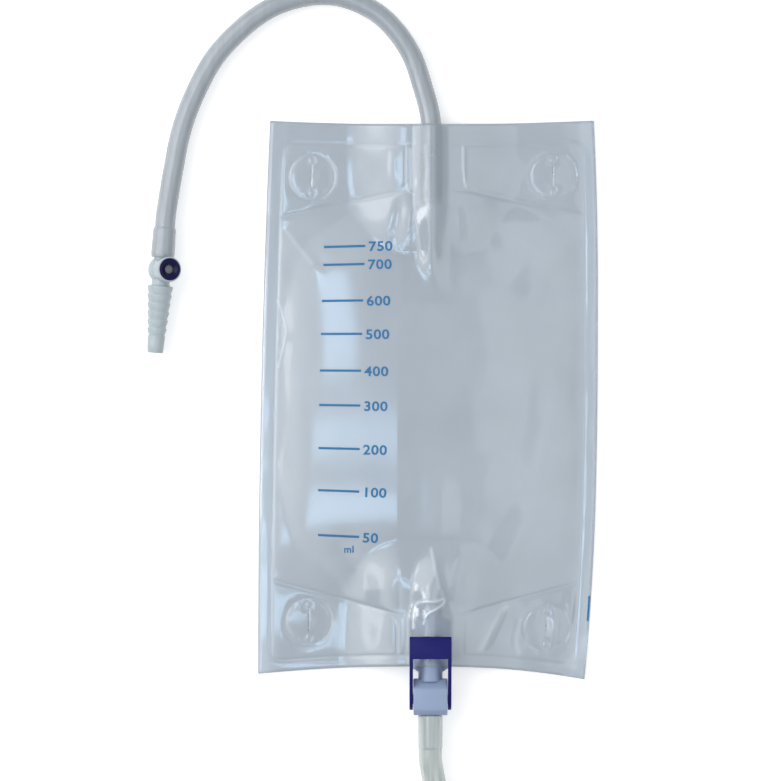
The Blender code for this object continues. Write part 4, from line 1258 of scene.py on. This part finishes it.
def lever_solid():
    lever = prism(lever_outline(), -LEVER_HALF_WIDTH, LEVER_HALF_WIDTH, along_x, bevel=0.0004)
    inner = BLOCK_HALF_WIDTH + LEVER_SIDE_GAP
    bar_start = PIVOT_Y + LEVER_REACH - LEVER_BAR_LENGTH
    window = [(bar_start, -0.02), (bar_start, 0.02), (PIVOT_Y - 0.01, 0.02), (PIVOT_Y - 0.01, -0.02)]
    socket = rod(DRIVE_RADIUS + 0.0001, -0.012, 0.012, pivot_frame(), sides=6)
    return shaped(lever, ("DIFFERENCE", prism(window, -inner, inner, along_x)), ("DIFFERENCE", socket))


def flap_piece(side, valve, film, material):
    """One flap of the non-return valve: open round the tube's end, and shut flat at its free end."""
    top = INLET_TUBE_END_Y - GAP
    bm = bmesh.new()
    bmesh.ops.create_grid(bm, x_segments=26, y_segments=40, size=1)
    for vert in bm.verts:
        across, share = vert.co.x, (1 - vert.co.y) / 2
        y = top - share * valve.length
        half = valve.mouth_half + (valve.half_width - valve.mouth_half) * eased(0, 0.0140, top - y)
        x = INLET_X + across * half
        back, front = sheet_heights(x, y, film)
        z = back + film.thickness / 2 + 0.0006
        if side == "front":
            closed = z + valve.thickness + GAP
            high = front - film.thickness / 2 - 0.0006
            z = closed + (high - closed) * (1 - eased(0, 0.9, share)) * (1 - across**2)
        vert.co = (x, y, z)
    film_piece(f"valve_{side}", bm, material, f"valve_flap_{side}", valve.thickness)


def surface_finder(obj):
    """A function that gives the height of the object's top over a point of the table."""
    tree = BVHTree.FromObject(obj, bpy.context.evaluated_depsgraph_get())

    def height(x, y):
        hit = tree.ray_cast(Vector((x, y, 0.1)), Vector((0, 0, -1)))[0]
        if hit is None:
            raise ValueError(f"no sheet under the print at {x:.4f}, {y:.4f}")
        return hit.z

    return height


def lay_on(bm, height, cell, lift):
    """Divides the flat print into small cells and lays each corner on the sheet."""
    for axis, normal in enumerate((Vector((1, 0, 0)), Vector((0, 1, 0)))):
        places = [vert.co[axis] for vert in bm.verts]
        low, high = min(places), max(places)
        count = max(1, int((high - low) / cell))
        for step in range(1, count):
            cut = {"plane_co": normal * (low + (high - low) * step / count), "plane_no": normal}
            bmesh.ops.bisect_plane(bm, geom=bm.verts[:] + bm.edges[:] + bm.faces[:], dist=1e-7, **cut)
    for vert in bm.verts:
        vert.co.z = height(vert.co.x, vert.co.y) + lift


def text_shape(words, size, weight, place):
    """A flat bmesh of the words, moved by the matrix."""
    curve = bpy.data.curves.new("words", "FONT")
    curve.body = words
    curve.size = size
    curve.offset = weight
    curve.space_character = 1.07
    curve.resolution_u = 4
    obj = placed("words", curve)
    mesh = bpy.data.meshes.new_from_object(obj.evaluated_get(bpy.context.evaluated_depsgraph_get()))
    bpy.data.objects.remove(obj, do_unlink=True)
    bm = bmesh.new()
    bm.from_mesh(mesh)
    bpy.data.meshes.remove(mesh)
    bmesh.ops.transform(bm, matrix=place, verts=bm.verts)
    return bm


def amount(name, default, description, **kind):
    return bpy.props.FloatProperty(name=name, description=description, default=default, **kind)


def metres(name, default, description):
    return amount(name, default, description, unit="LENGTH")


def share_of(name, default, description):
    return amount(name, default, description, subtype="FACTOR")


def tint(name, default, description):
    return bpy.props.FloatVectorProperty(
        name=name, description=description, default=default, subtype="COLOR"
    )


class FilmSettings(bpy.types.PropertyGroup):
    """The two welded sheets."""

    thickness: metres("Thickness", 0.0003, "Thickness of each sheet")
    weld_gap: metres("Weld gap", 0.00005, "Gap between the sheets at a weld")
    weld_width: metres("Weld width", 0.0009, "Width of the pressed weld lines")
    pouch_puff: metres("Fullness", 0.0048, "How far the sheets stand apart")
    opacity: share_of("Opacity", 0.6, "Share of the light that a sheet stops")
    pressed_opacity: share_of("Pressed opacity", 0.18, "Opacity where the sheet is pressed on the tap")
    roughness: share_of("Roughness", 0.40, "Roughness of the sheet")
    gloss_roughness: share_of("Skin roughness", 0.085, "Roughness of the glossy skin")
    colour: tint("Colour", (0.440, 0.500, 0.565), "Colour of the sheet")
    # Painted light: the paler colour of the flat rim where the sheets lie on the table, palest at the lower
    # left.
    rim_colour: tint("Rim colour", (0.62, 0.71, 0.80), "Colour at the flat rim")
    # Painted highlight: the colour mixed in along the creases.
    crease_colour: tint("Crease colour", (0.84, 0.90, 0.97), "Colour of a whitened crease")


class TubeSettings(bpy.types.PropertyGroup):
    """The two soft tubes."""

    roughness: share_of("Roughness", 0.4, "Roughness of the tube")
    opacity: share_of("Opacity", 0.8, "Share of the light that a wall stops")
    gloss_roughness: share_of("Skin roughness", 0.08, "Roughness of the glossy skin")
    inlet_colour: tint("Inlet colour", (0.41, 0.45, 0.495), "Inlet tube")
    outlet_colour: tint("Outlet colour", (0.60, 0.66, 0.64), "Outlet tube")


class ValveSettings(bpy.types.PropertyGroup):
    """The non-return valve."""

    length: metres("Length", 0.0430, "Length of a flap")
    half_width: metres("Half width", 0.0130, "Half of a flap's width")
    mouth_half: metres("Mouth", 0.0080, "Half of its width at the tube")
    thickness: metres("Thickness", 0.00025, "Thickness of a flap")


class PlasticSettings(bpy.types.PropertyGroup):
    """Colours of the moulded pieces."""

    connector: tint("Connector", (0.44, 0.50, 0.53), "Connector")
    ring: tint("Port ring", (0.006, 0.004, 0.055), "Port ring")
    septum: tint("Septum", (0.16, 0.17, 0.18), "Rubber of the port")
    tap: tint("Tap", (0.29, 0.365, 0.53), "Tap body")
    plug: tint("Barrel", (0.60, 0.64, 0.72), "Tap barrel")
    lever: tint("Lever", (0.008, 0.008, 0.13), "Tap lever")


class PrintSettings(bpy.types.PropertyGroup):
    """The printed graduations."""

    colour: tint("Ink", (0.010, 0.155, 0.36), "Colour of the ink")
    line_length: metres("Line length", 0.0177, "Length of a line")
    line_width: metres("Line width", 0.0010, "Width of a line")
    number_size: metres("Number size", 0.0060, "Size of the numbers")
    number_gap: metres("Number gap", 0.0014, "Gap from line to number")


class StudioSettings(bpy.types.PropertyGroup):
    """Floor, light and camera."""

    ambient: amount("Ambient", 0.66, "Strength of the even light")
    key: amount("Key", 12.0, "Power of the large left lamp")
    window: amount("Window", 1.9, "Power of the bright panel on the left")
    sheen: amount("Sheen", 1.6, "Radiance of the broad panel that the film mirrors")
    pane: amount("Panes", 4.6, "Radiance of the window panes")
    fill: amount("Fill", 2.6, "Power of the right lamp")
    floor_glow: amount("Floor glow", 0.46, "Light that whitens the floor to the camera")


class DRAINAGE_OT_studio(bpy.types.Operator):
    """Builds the floor, the lamps and the camera above the bag"""

    bl_idname = "drainage.studio"
    bl_label = "Studio"

    def execute(self, context):
        studio = context.scene.drainage_studio
        context.scene.view_settings.view_transform = "Standard"
        build_floor(studio.floor_glow)
        build_world(studio.ambient)
        panel("key lamp", (-1.05, 0.55, 0.95), 1.5, 1.5, studio.key)
        panel("fill lamp", (1.1, -0.3, 0.9), 0.8, 0.8, studio.fill, mirrored=False)
        panel("window", (-1.15, 0.05, 0.80), 0.22, 0.60, studio.window)
        for left, right, share in SHEEN_STRIPS:
            mirror_panel("left sheen", (left, right, -0.50, 0.60), SHEEN_HEIGHT, share * studio.sheen)
        mirror_panel("right sheen", (0.13, 0.95, -0.55, 0.55), SHEEN_HEIGHT, 0.5 * studio.sheen)
        for edges in WINDOW_PANES:
            mirror_panel("window pane", edges, PANE_HEIGHT, studio.pane, PANE_COLOUR)
        build_camera()
        return {"FINISHED"}


class DRAINAGE_OT_connector(bpy.types.Operator):
    """Builds the catheter connector with its sampling port"""

    bl_idname = "drainage.connector"
    bl_label = "Catheter Connector"

    def execute(self, context):
        plastic = context.scene.drainage_plastic
        shell = moulded_finish("connector plastic", plastic.connector, 0.28)
        finish_mesh("connector_shell", connector_solid(), shell, "bag", ["connector_body"])
        collar = moulded_finish("ring plastic", plastic.ring, 0.22, shade=0.8, specular=0.18)
        ring = turned(ring_profile(), port_frame())
        finish_mesh("port_collar", ring, collar, "bag", ["port_ring"])
        rubber = moulded_finish("port rubber", plastic.septum, 0.65, grain=2500)
        septum = turned(septum_profile(), port_frame())
        finish_mesh("port_rubber", septum, rubber, "bag", ["port_septum"])
        return {"FINISHED"}


class DRAINAGE_OT_inlet_tube(bpy.types.Operator):
    """Builds the soft inlet tube with its end stretched over the connector"""

    bl_idname = "drainage.inlet_tube"
    bl_label = "Inlet Tube"

    def execute(self, context):
        tubes = context.scene.drainage_tubes
        place = connector_frame()
        lead, entry = (tuple(place @ Vector((0, 0, along))) for along in (-HOSE_LEAD, 0))
        points = smooth_route([*INLET_ROUTE, lead, entry], 150)
        for point in points:
            point.z = max(point.z, INLET_TUBE_RADIUS)
        radii = [INLET_TUBE_RADIUS] * len(points)
        for step in range(1, CUFF_STEPS + 1):
            share = step / CUFF_STEPS
            points.append(place @ Vector((0, 0, CONNECTOR_SPIGOT_LENGTH * share)))
            flare = 0.75 * eased(0.02, 0.14, share) + 0.25 * eased(0.2, 0.8, share)
            lip = 0.0002 * eased(0.85, 1.0, share)
            radii.append(INLET_TUBE_RADIUS + (INLET_CUFF_RADIUS - INLET_TUBE_RADIUS) * flare - lip)
        bm = hollow_tube(points, radii, INLET_TUBE_WALL, 40)
        material = tube_finish("soft inlet tube", tubes.inlet_colour, tubes, 0.65, 0.08)
        nodes = ("inlet_tube", "inlet_cuff")
        tube = finish_mesh("inlet_hose", bm, material, "bag", nodes, sharp=50)
        return {"FINISHED"}


class DRAINAGE_OT_outlet_tube(bpy.types.Operator):
    """Builds the soft outlet tube with its end pushed over the tap's spigot"""

    bl_idname = "drainage.outlet_tube"
    bl_label = "Outlet Tube"

    def execute(self, context):
        tubes = context.scene.drainage_tubes
        top = BLOCK_BOTTOM_Y - GAP
        points, radii = [], []
        for step in range(CUFF_STEPS + 1):
            share = step / CUFF_STEPS
            points.append(Vector((TAP_X, top + (OUTLET_END_Y - top) * share, TAP_Z)))
            narrow = eased(0.93, 1.0, share)
            radii.append(OUTLET_CUFF_RADIUS + (OUTLET_TUBE_RADIUS - OUTLET_CUFF_RADIUS) * narrow)
        route = [(TAP_X, OUTLET_END_Y, TAP_Z), (TAP_X, OUTLET_END_Y - HOSE_LEAD, TAP_Z), *OUTLET_ROUTE]
        for point in smooth_route(route, 50)[1:]:
            point.z = max(point.z, OUTLET_TUBE_RADIUS)
            points.append(point)
            radii.append(OUTLET_TUBE_RADIUS)
        bm = hollow_tube(points, radii, OUTLET_TUBE_WALL, 40)
        material = tube_finish("soft outlet tube", tubes.outlet_colour, tubes, 1.0, 0.36)
        nodes = ("outlet_tube", "outlet_cuff")
        tube = finish_mesh("outlet_hose", bm, material, "bag", nodes, sharp=50)
        return {"FINISHED"}


class DRAINAGE_OT_films(bpy.types.Operator):
    """Builds the front and back sheets of the pouch"""

    bl_idname = "drainage.films"
    bl_label = "Films"

    def execute(self, context):
        film = context.scene.drainage_film
        front, back = sheet_piece("front", film), sheet_piece("back", film)
        return {"FINISHED"}


class DRAINAGE_OT_valve(bpy.types.Operator):
    """Builds the two flaps of the non-return valve inside the pouch"""

    bl_idname = "drainage.valve"
    bl_label = "Non-return Valve"

    def execute(self, context):
        film, valve = context.scene.drainage_film, context.scene.drainage_valve
        material, _ = new_finish("valve film", (0.62, 0.66, 0.70), 0.25, alpha=0.16)
        for side in ("front", "back"):
            flap_piece(side, valve, film, material)
        return {"FINISHED"}


class DRAINAGE_OT_tap(bpy.types.Operator):
    """Builds the tap body, its barrel and its lever"""

    bl_idname = "drainage.tap"
    bl_label = "Tap and Lever"

    def execute(self, context):
        plastic = context.scene.drainage_plastic
        body = moulded_finish("tap plastic", plastic.tap, 0.3)
        finish_mesh("tap_shell", tap_solid(), body, "bag", ["tap_body"])
        barrel = moulded_finish("barrel plastic", plastic.plug, 0.3)
        finish_mesh("tap_barrel", plug_solid(), barrel, "lever", ["tap_plug"])
        lever = moulded_finish("lever plastic", plastic.lever, 0.36, specular=0.16)
        finish_mesh("lever_stirrup", lever_solid(), lever, "lever", ["tap_lever"])
        return {"FINISHED"}


class DRAINAGE_OT_graduations(bpy.types.Operator):
    """Prints the volume lines and their numbers on the front sheet"""

    bl_idname = "drainage.graduations"
    bl_label = "Graduations"

    def execute(self, context):
        ink = context.scene.drainage_print
        low, high = min(GRADUATIONS.values()), max(GRADUATIONS.values())
        digits_high = 0.73 * ink.number_size
        beside = Matrix.Translation((ink.line_length + ink.number_gap, -digits_high / 2, 0))
        wider = Matrix.Diagonal((1.10, 0.96, 1, 1))
        long = Matrix.Diagonal((ink.line_length, ink.line_width, 1, 1))
        printed = []
        for volume, y in GRADUATIONS.items():
            share = (y - low) / (high - low)
            start = Matrix.Translation((-0.0473 + 0.0026 * share**2, y, 0))
            place = start @ Matrix.Rotation(-0.045 + 0.070 * share, 4, "Z")
            line = bmesh.new()
            bmesh.ops.create_grid(line, x_segments=24, y_segments=2, size=0.5)
            onwards = Matrix.Translation((ink.line_length / 2, 0, 0))
            bmesh.ops.transform(line, matrix=place @ onwards @ long, verts=line.verts)
            size = ink.number_size
            printed += [line, text_shape(str(volume), size, size * 0.022, place @ beside @ wider)]
        size = UNIT_SHARE * ink.number_size
        printed.append(text_shape("ml", size, size * 0.02, Matrix.Translation((*UNIT_PLACE, 0))))
        mark = bmesh.new()
        bmesh.ops.create_grid(mark, x_segments=2, y_segments=8, size=0.5)
        for vert in mark.verts:
            vert.co.y = EDGE_MARK_Y + EDGE_MARK_SIZE[1] * vert.co.y
            vert.co.x = right_edge(vert.co.y) - EDGE_MARK_INSET + EDGE_MARK_SIZE[0] * vert.co.x
        height = surface_finder(bpy.data.objects["front_sheet"])
        whole = bmesh.new()
        for part in (*printed, mark):
            lay_on(part, height, 0.0012, 0.00004)
            mesh = mesh_of("print", part)
            whole.from_mesh(mesh)
            bpy.data.meshes.remove(mesh)
        bmesh.ops.recalc_face_normals(whole, faces=whole.faces)
        if sum(face.normal.z for face in whole.faces) < 0:
            bmesh.ops.reverse_faces(whole, faces=whole.faces)
        material = moulded_finish("blue ink", ink.colour, 0.45, shade=0.85)
        finish_mesh("graduations", whole, material, "bag")
        return {"FINISHED"}


def build_floor(glow):
    """A pale floor that is white to the camera and keeps the bag's shadow."""
    bm = bmesh.new()
    bmesh.ops.create_grid(bm, x_segments=2, y_segments=2, size=6)
    floor = placed("floor", mesh_of("floor", bm))
    material, shader = new_finish("floor", (0.80, 0.80, 0.80), 0.9, specular=0.0)
    rays = add_node(material, "ShaderNodeLightPath").outputs
    seen = (rays[f"Is {kind} Ray"] for kind in ("Camera", "Glossy", "Transmission"))
    strength = add_node(material, "ShaderNodeMath", operation="MULTIPLY")
    strength.inputs[1].default_value = glow
    link(material, greatest(material, *seen), strength.inputs[0])
    link(material, strength.outputs[0], shader.inputs["Emission Strength"])
    set_inputs(shader, {"Emission Color": (1, 1, 1, 1)})
    floor.data.materials.append(material)


def build_world(strength):
    """Even light, and plain white where the camera looks past the floor."""
    world = bpy.data.worlds.new("studio")
    bpy.context.scene.world = world
    world.use_nodes = True
    light = world.node_tree.nodes["Background"]
    set_inputs(light, {"Color": (0.93, 0.97, 1.0, 1), "Strength": strength})
    white = add_node(world, "ShaderNodeBackground", Color=(1, 1, 1, 1))
    mix = add_node(world, "ShaderNodeMixShader")
    rays = add_node(world, "ShaderNodeLightPath")
    link(world, rays.outputs["Is Camera Ray"], mix.inputs[0])
    link(world, light.outputs[0], mix.inputs[1])
    link(world, white.outputs[0], mix.inputs[2])
    link(world, mix.outputs[0], world.node_tree.nodes["World Output"].inputs["Surface"])


def panel(name, place, wide, high, power, mirrored=True):
    """A soft rectangular lamp that faces the middle of the bag. Glossy pieces mirror it or not."""
    lamp = bpy.data.lights.new(name, "AREA")
    lamp.shape = "RECTANGLE"
    lamp.size = wide
    lamp.size_y = high
    lamp.energy = power
    obj = placed(name, lamp)
    obj.visible_glossy = mirrored
    obj.location = place
    obj.rotation_euler = (-Vector(place)).to_track_quat("-Z", "Y").to_euler()
    return obj


def mirror_panel(name, edges, above, radiance, colour=(1, 1, 1)):
    """A level panel over the table that is only seen mirrored in glossy surfaces."""
    left, right, low, high = edges
    wide, tall = right - left, high - low
    place = ((left + right) / 2, (low + high) / 2, above)
    obj = panel(name, place, wide, tall, radiance * math.pi * wide * tall)
    obj.rotation_euler = (0, 0, 0)
    obj.data.color = colour
    obj.visible_diffuse = False


def build_camera():
    """The camera looks straight down. One pixel of the photograph is 0.43 mm on the table."""
    pixel = 0.00043
    photo_wide, photo_high = 780, 781
    axis_column, axis_row = 428.0, 434.5
    height, subject = 2.0, 0.003
    data = bpy.data.cameras.new("camera")
    data.sensor_width = 36
    data.lens = data.sensor_width * (height - subject) / (pixel * photo_high)
    data.clip_end = 20
    camera = placed("camera", data)
    camera.location = ((photo_wide / 2 - axis_column) * pixel, (axis_row - photo_high / 2) * pixel, height)
    bpy.context.scene.camera = camera


class DRAINAGE_PT_panel(bpy.types.Panel):
    """Lists the pieces of the bag"""

    bl_label = "Drainage Bag"
    bl_idname = "DRAINAGE_PT_panel"
    bl_space_type = "VIEW_3D"
    bl_region_type = "UI"
    bl_category = "Drainage Bag"

    def draw(self, context):
        for operator in OPERATORS:
            self.layout.operator(operator.bl_idname)


SETTINGS = {
    "drainage_film": FilmSettings,
    "drainage_tubes": TubeSettings,
    "drainage_valve": ValveSettings,
    "drainage_plastic": PlasticSettings,
    "drainage_print": PrintSettings,
    "drainage_studio": StudioSettings,
}
OPERATORS = [
    DRAINAGE_OT_studio,
    DRAINAGE_OT_connector,
    DRAINAGE_OT_inlet_tube,
    DRAINAGE_OT_outlet_tube,
    DRAINAGE_OT_films,
    DRAINAGE_OT_valve,
    DRAINAGE_OT_tap,
    DRAINAGE_OT_graduations,
]
CLASSES = [*SETTINGS.values(), *OPERATORS, DRAINAGE_PT_panel]


def register():
    for cls in CLASSES:
        bpy.utils.register_class(cls)
    for name, group in SETTINGS.items():
        setattr(bpy.types.Scene, name, bpy.props.PointerProperty(type=group))


def unregister():
    for name in SETTINGS:
        delattr(bpy.types.Scene, name)
    for cls in reversed(CLASSES):
        bpy.utils.unregister_class(cls)


def main():
    register()
    bpy.ops.drainage.studio()
    bpy.ops.drainage.connector()
    bpy.ops.drainage.inlet_tube()
    bpy.ops.drainage.outlet_tube()
    bpy.ops.drainage.films()
    bpy.ops.drainage.valve()
    bpy.ops.drainage.tap()
    bpy.ops.drainage.graduations()


if __name__ == "__main__":
    main()
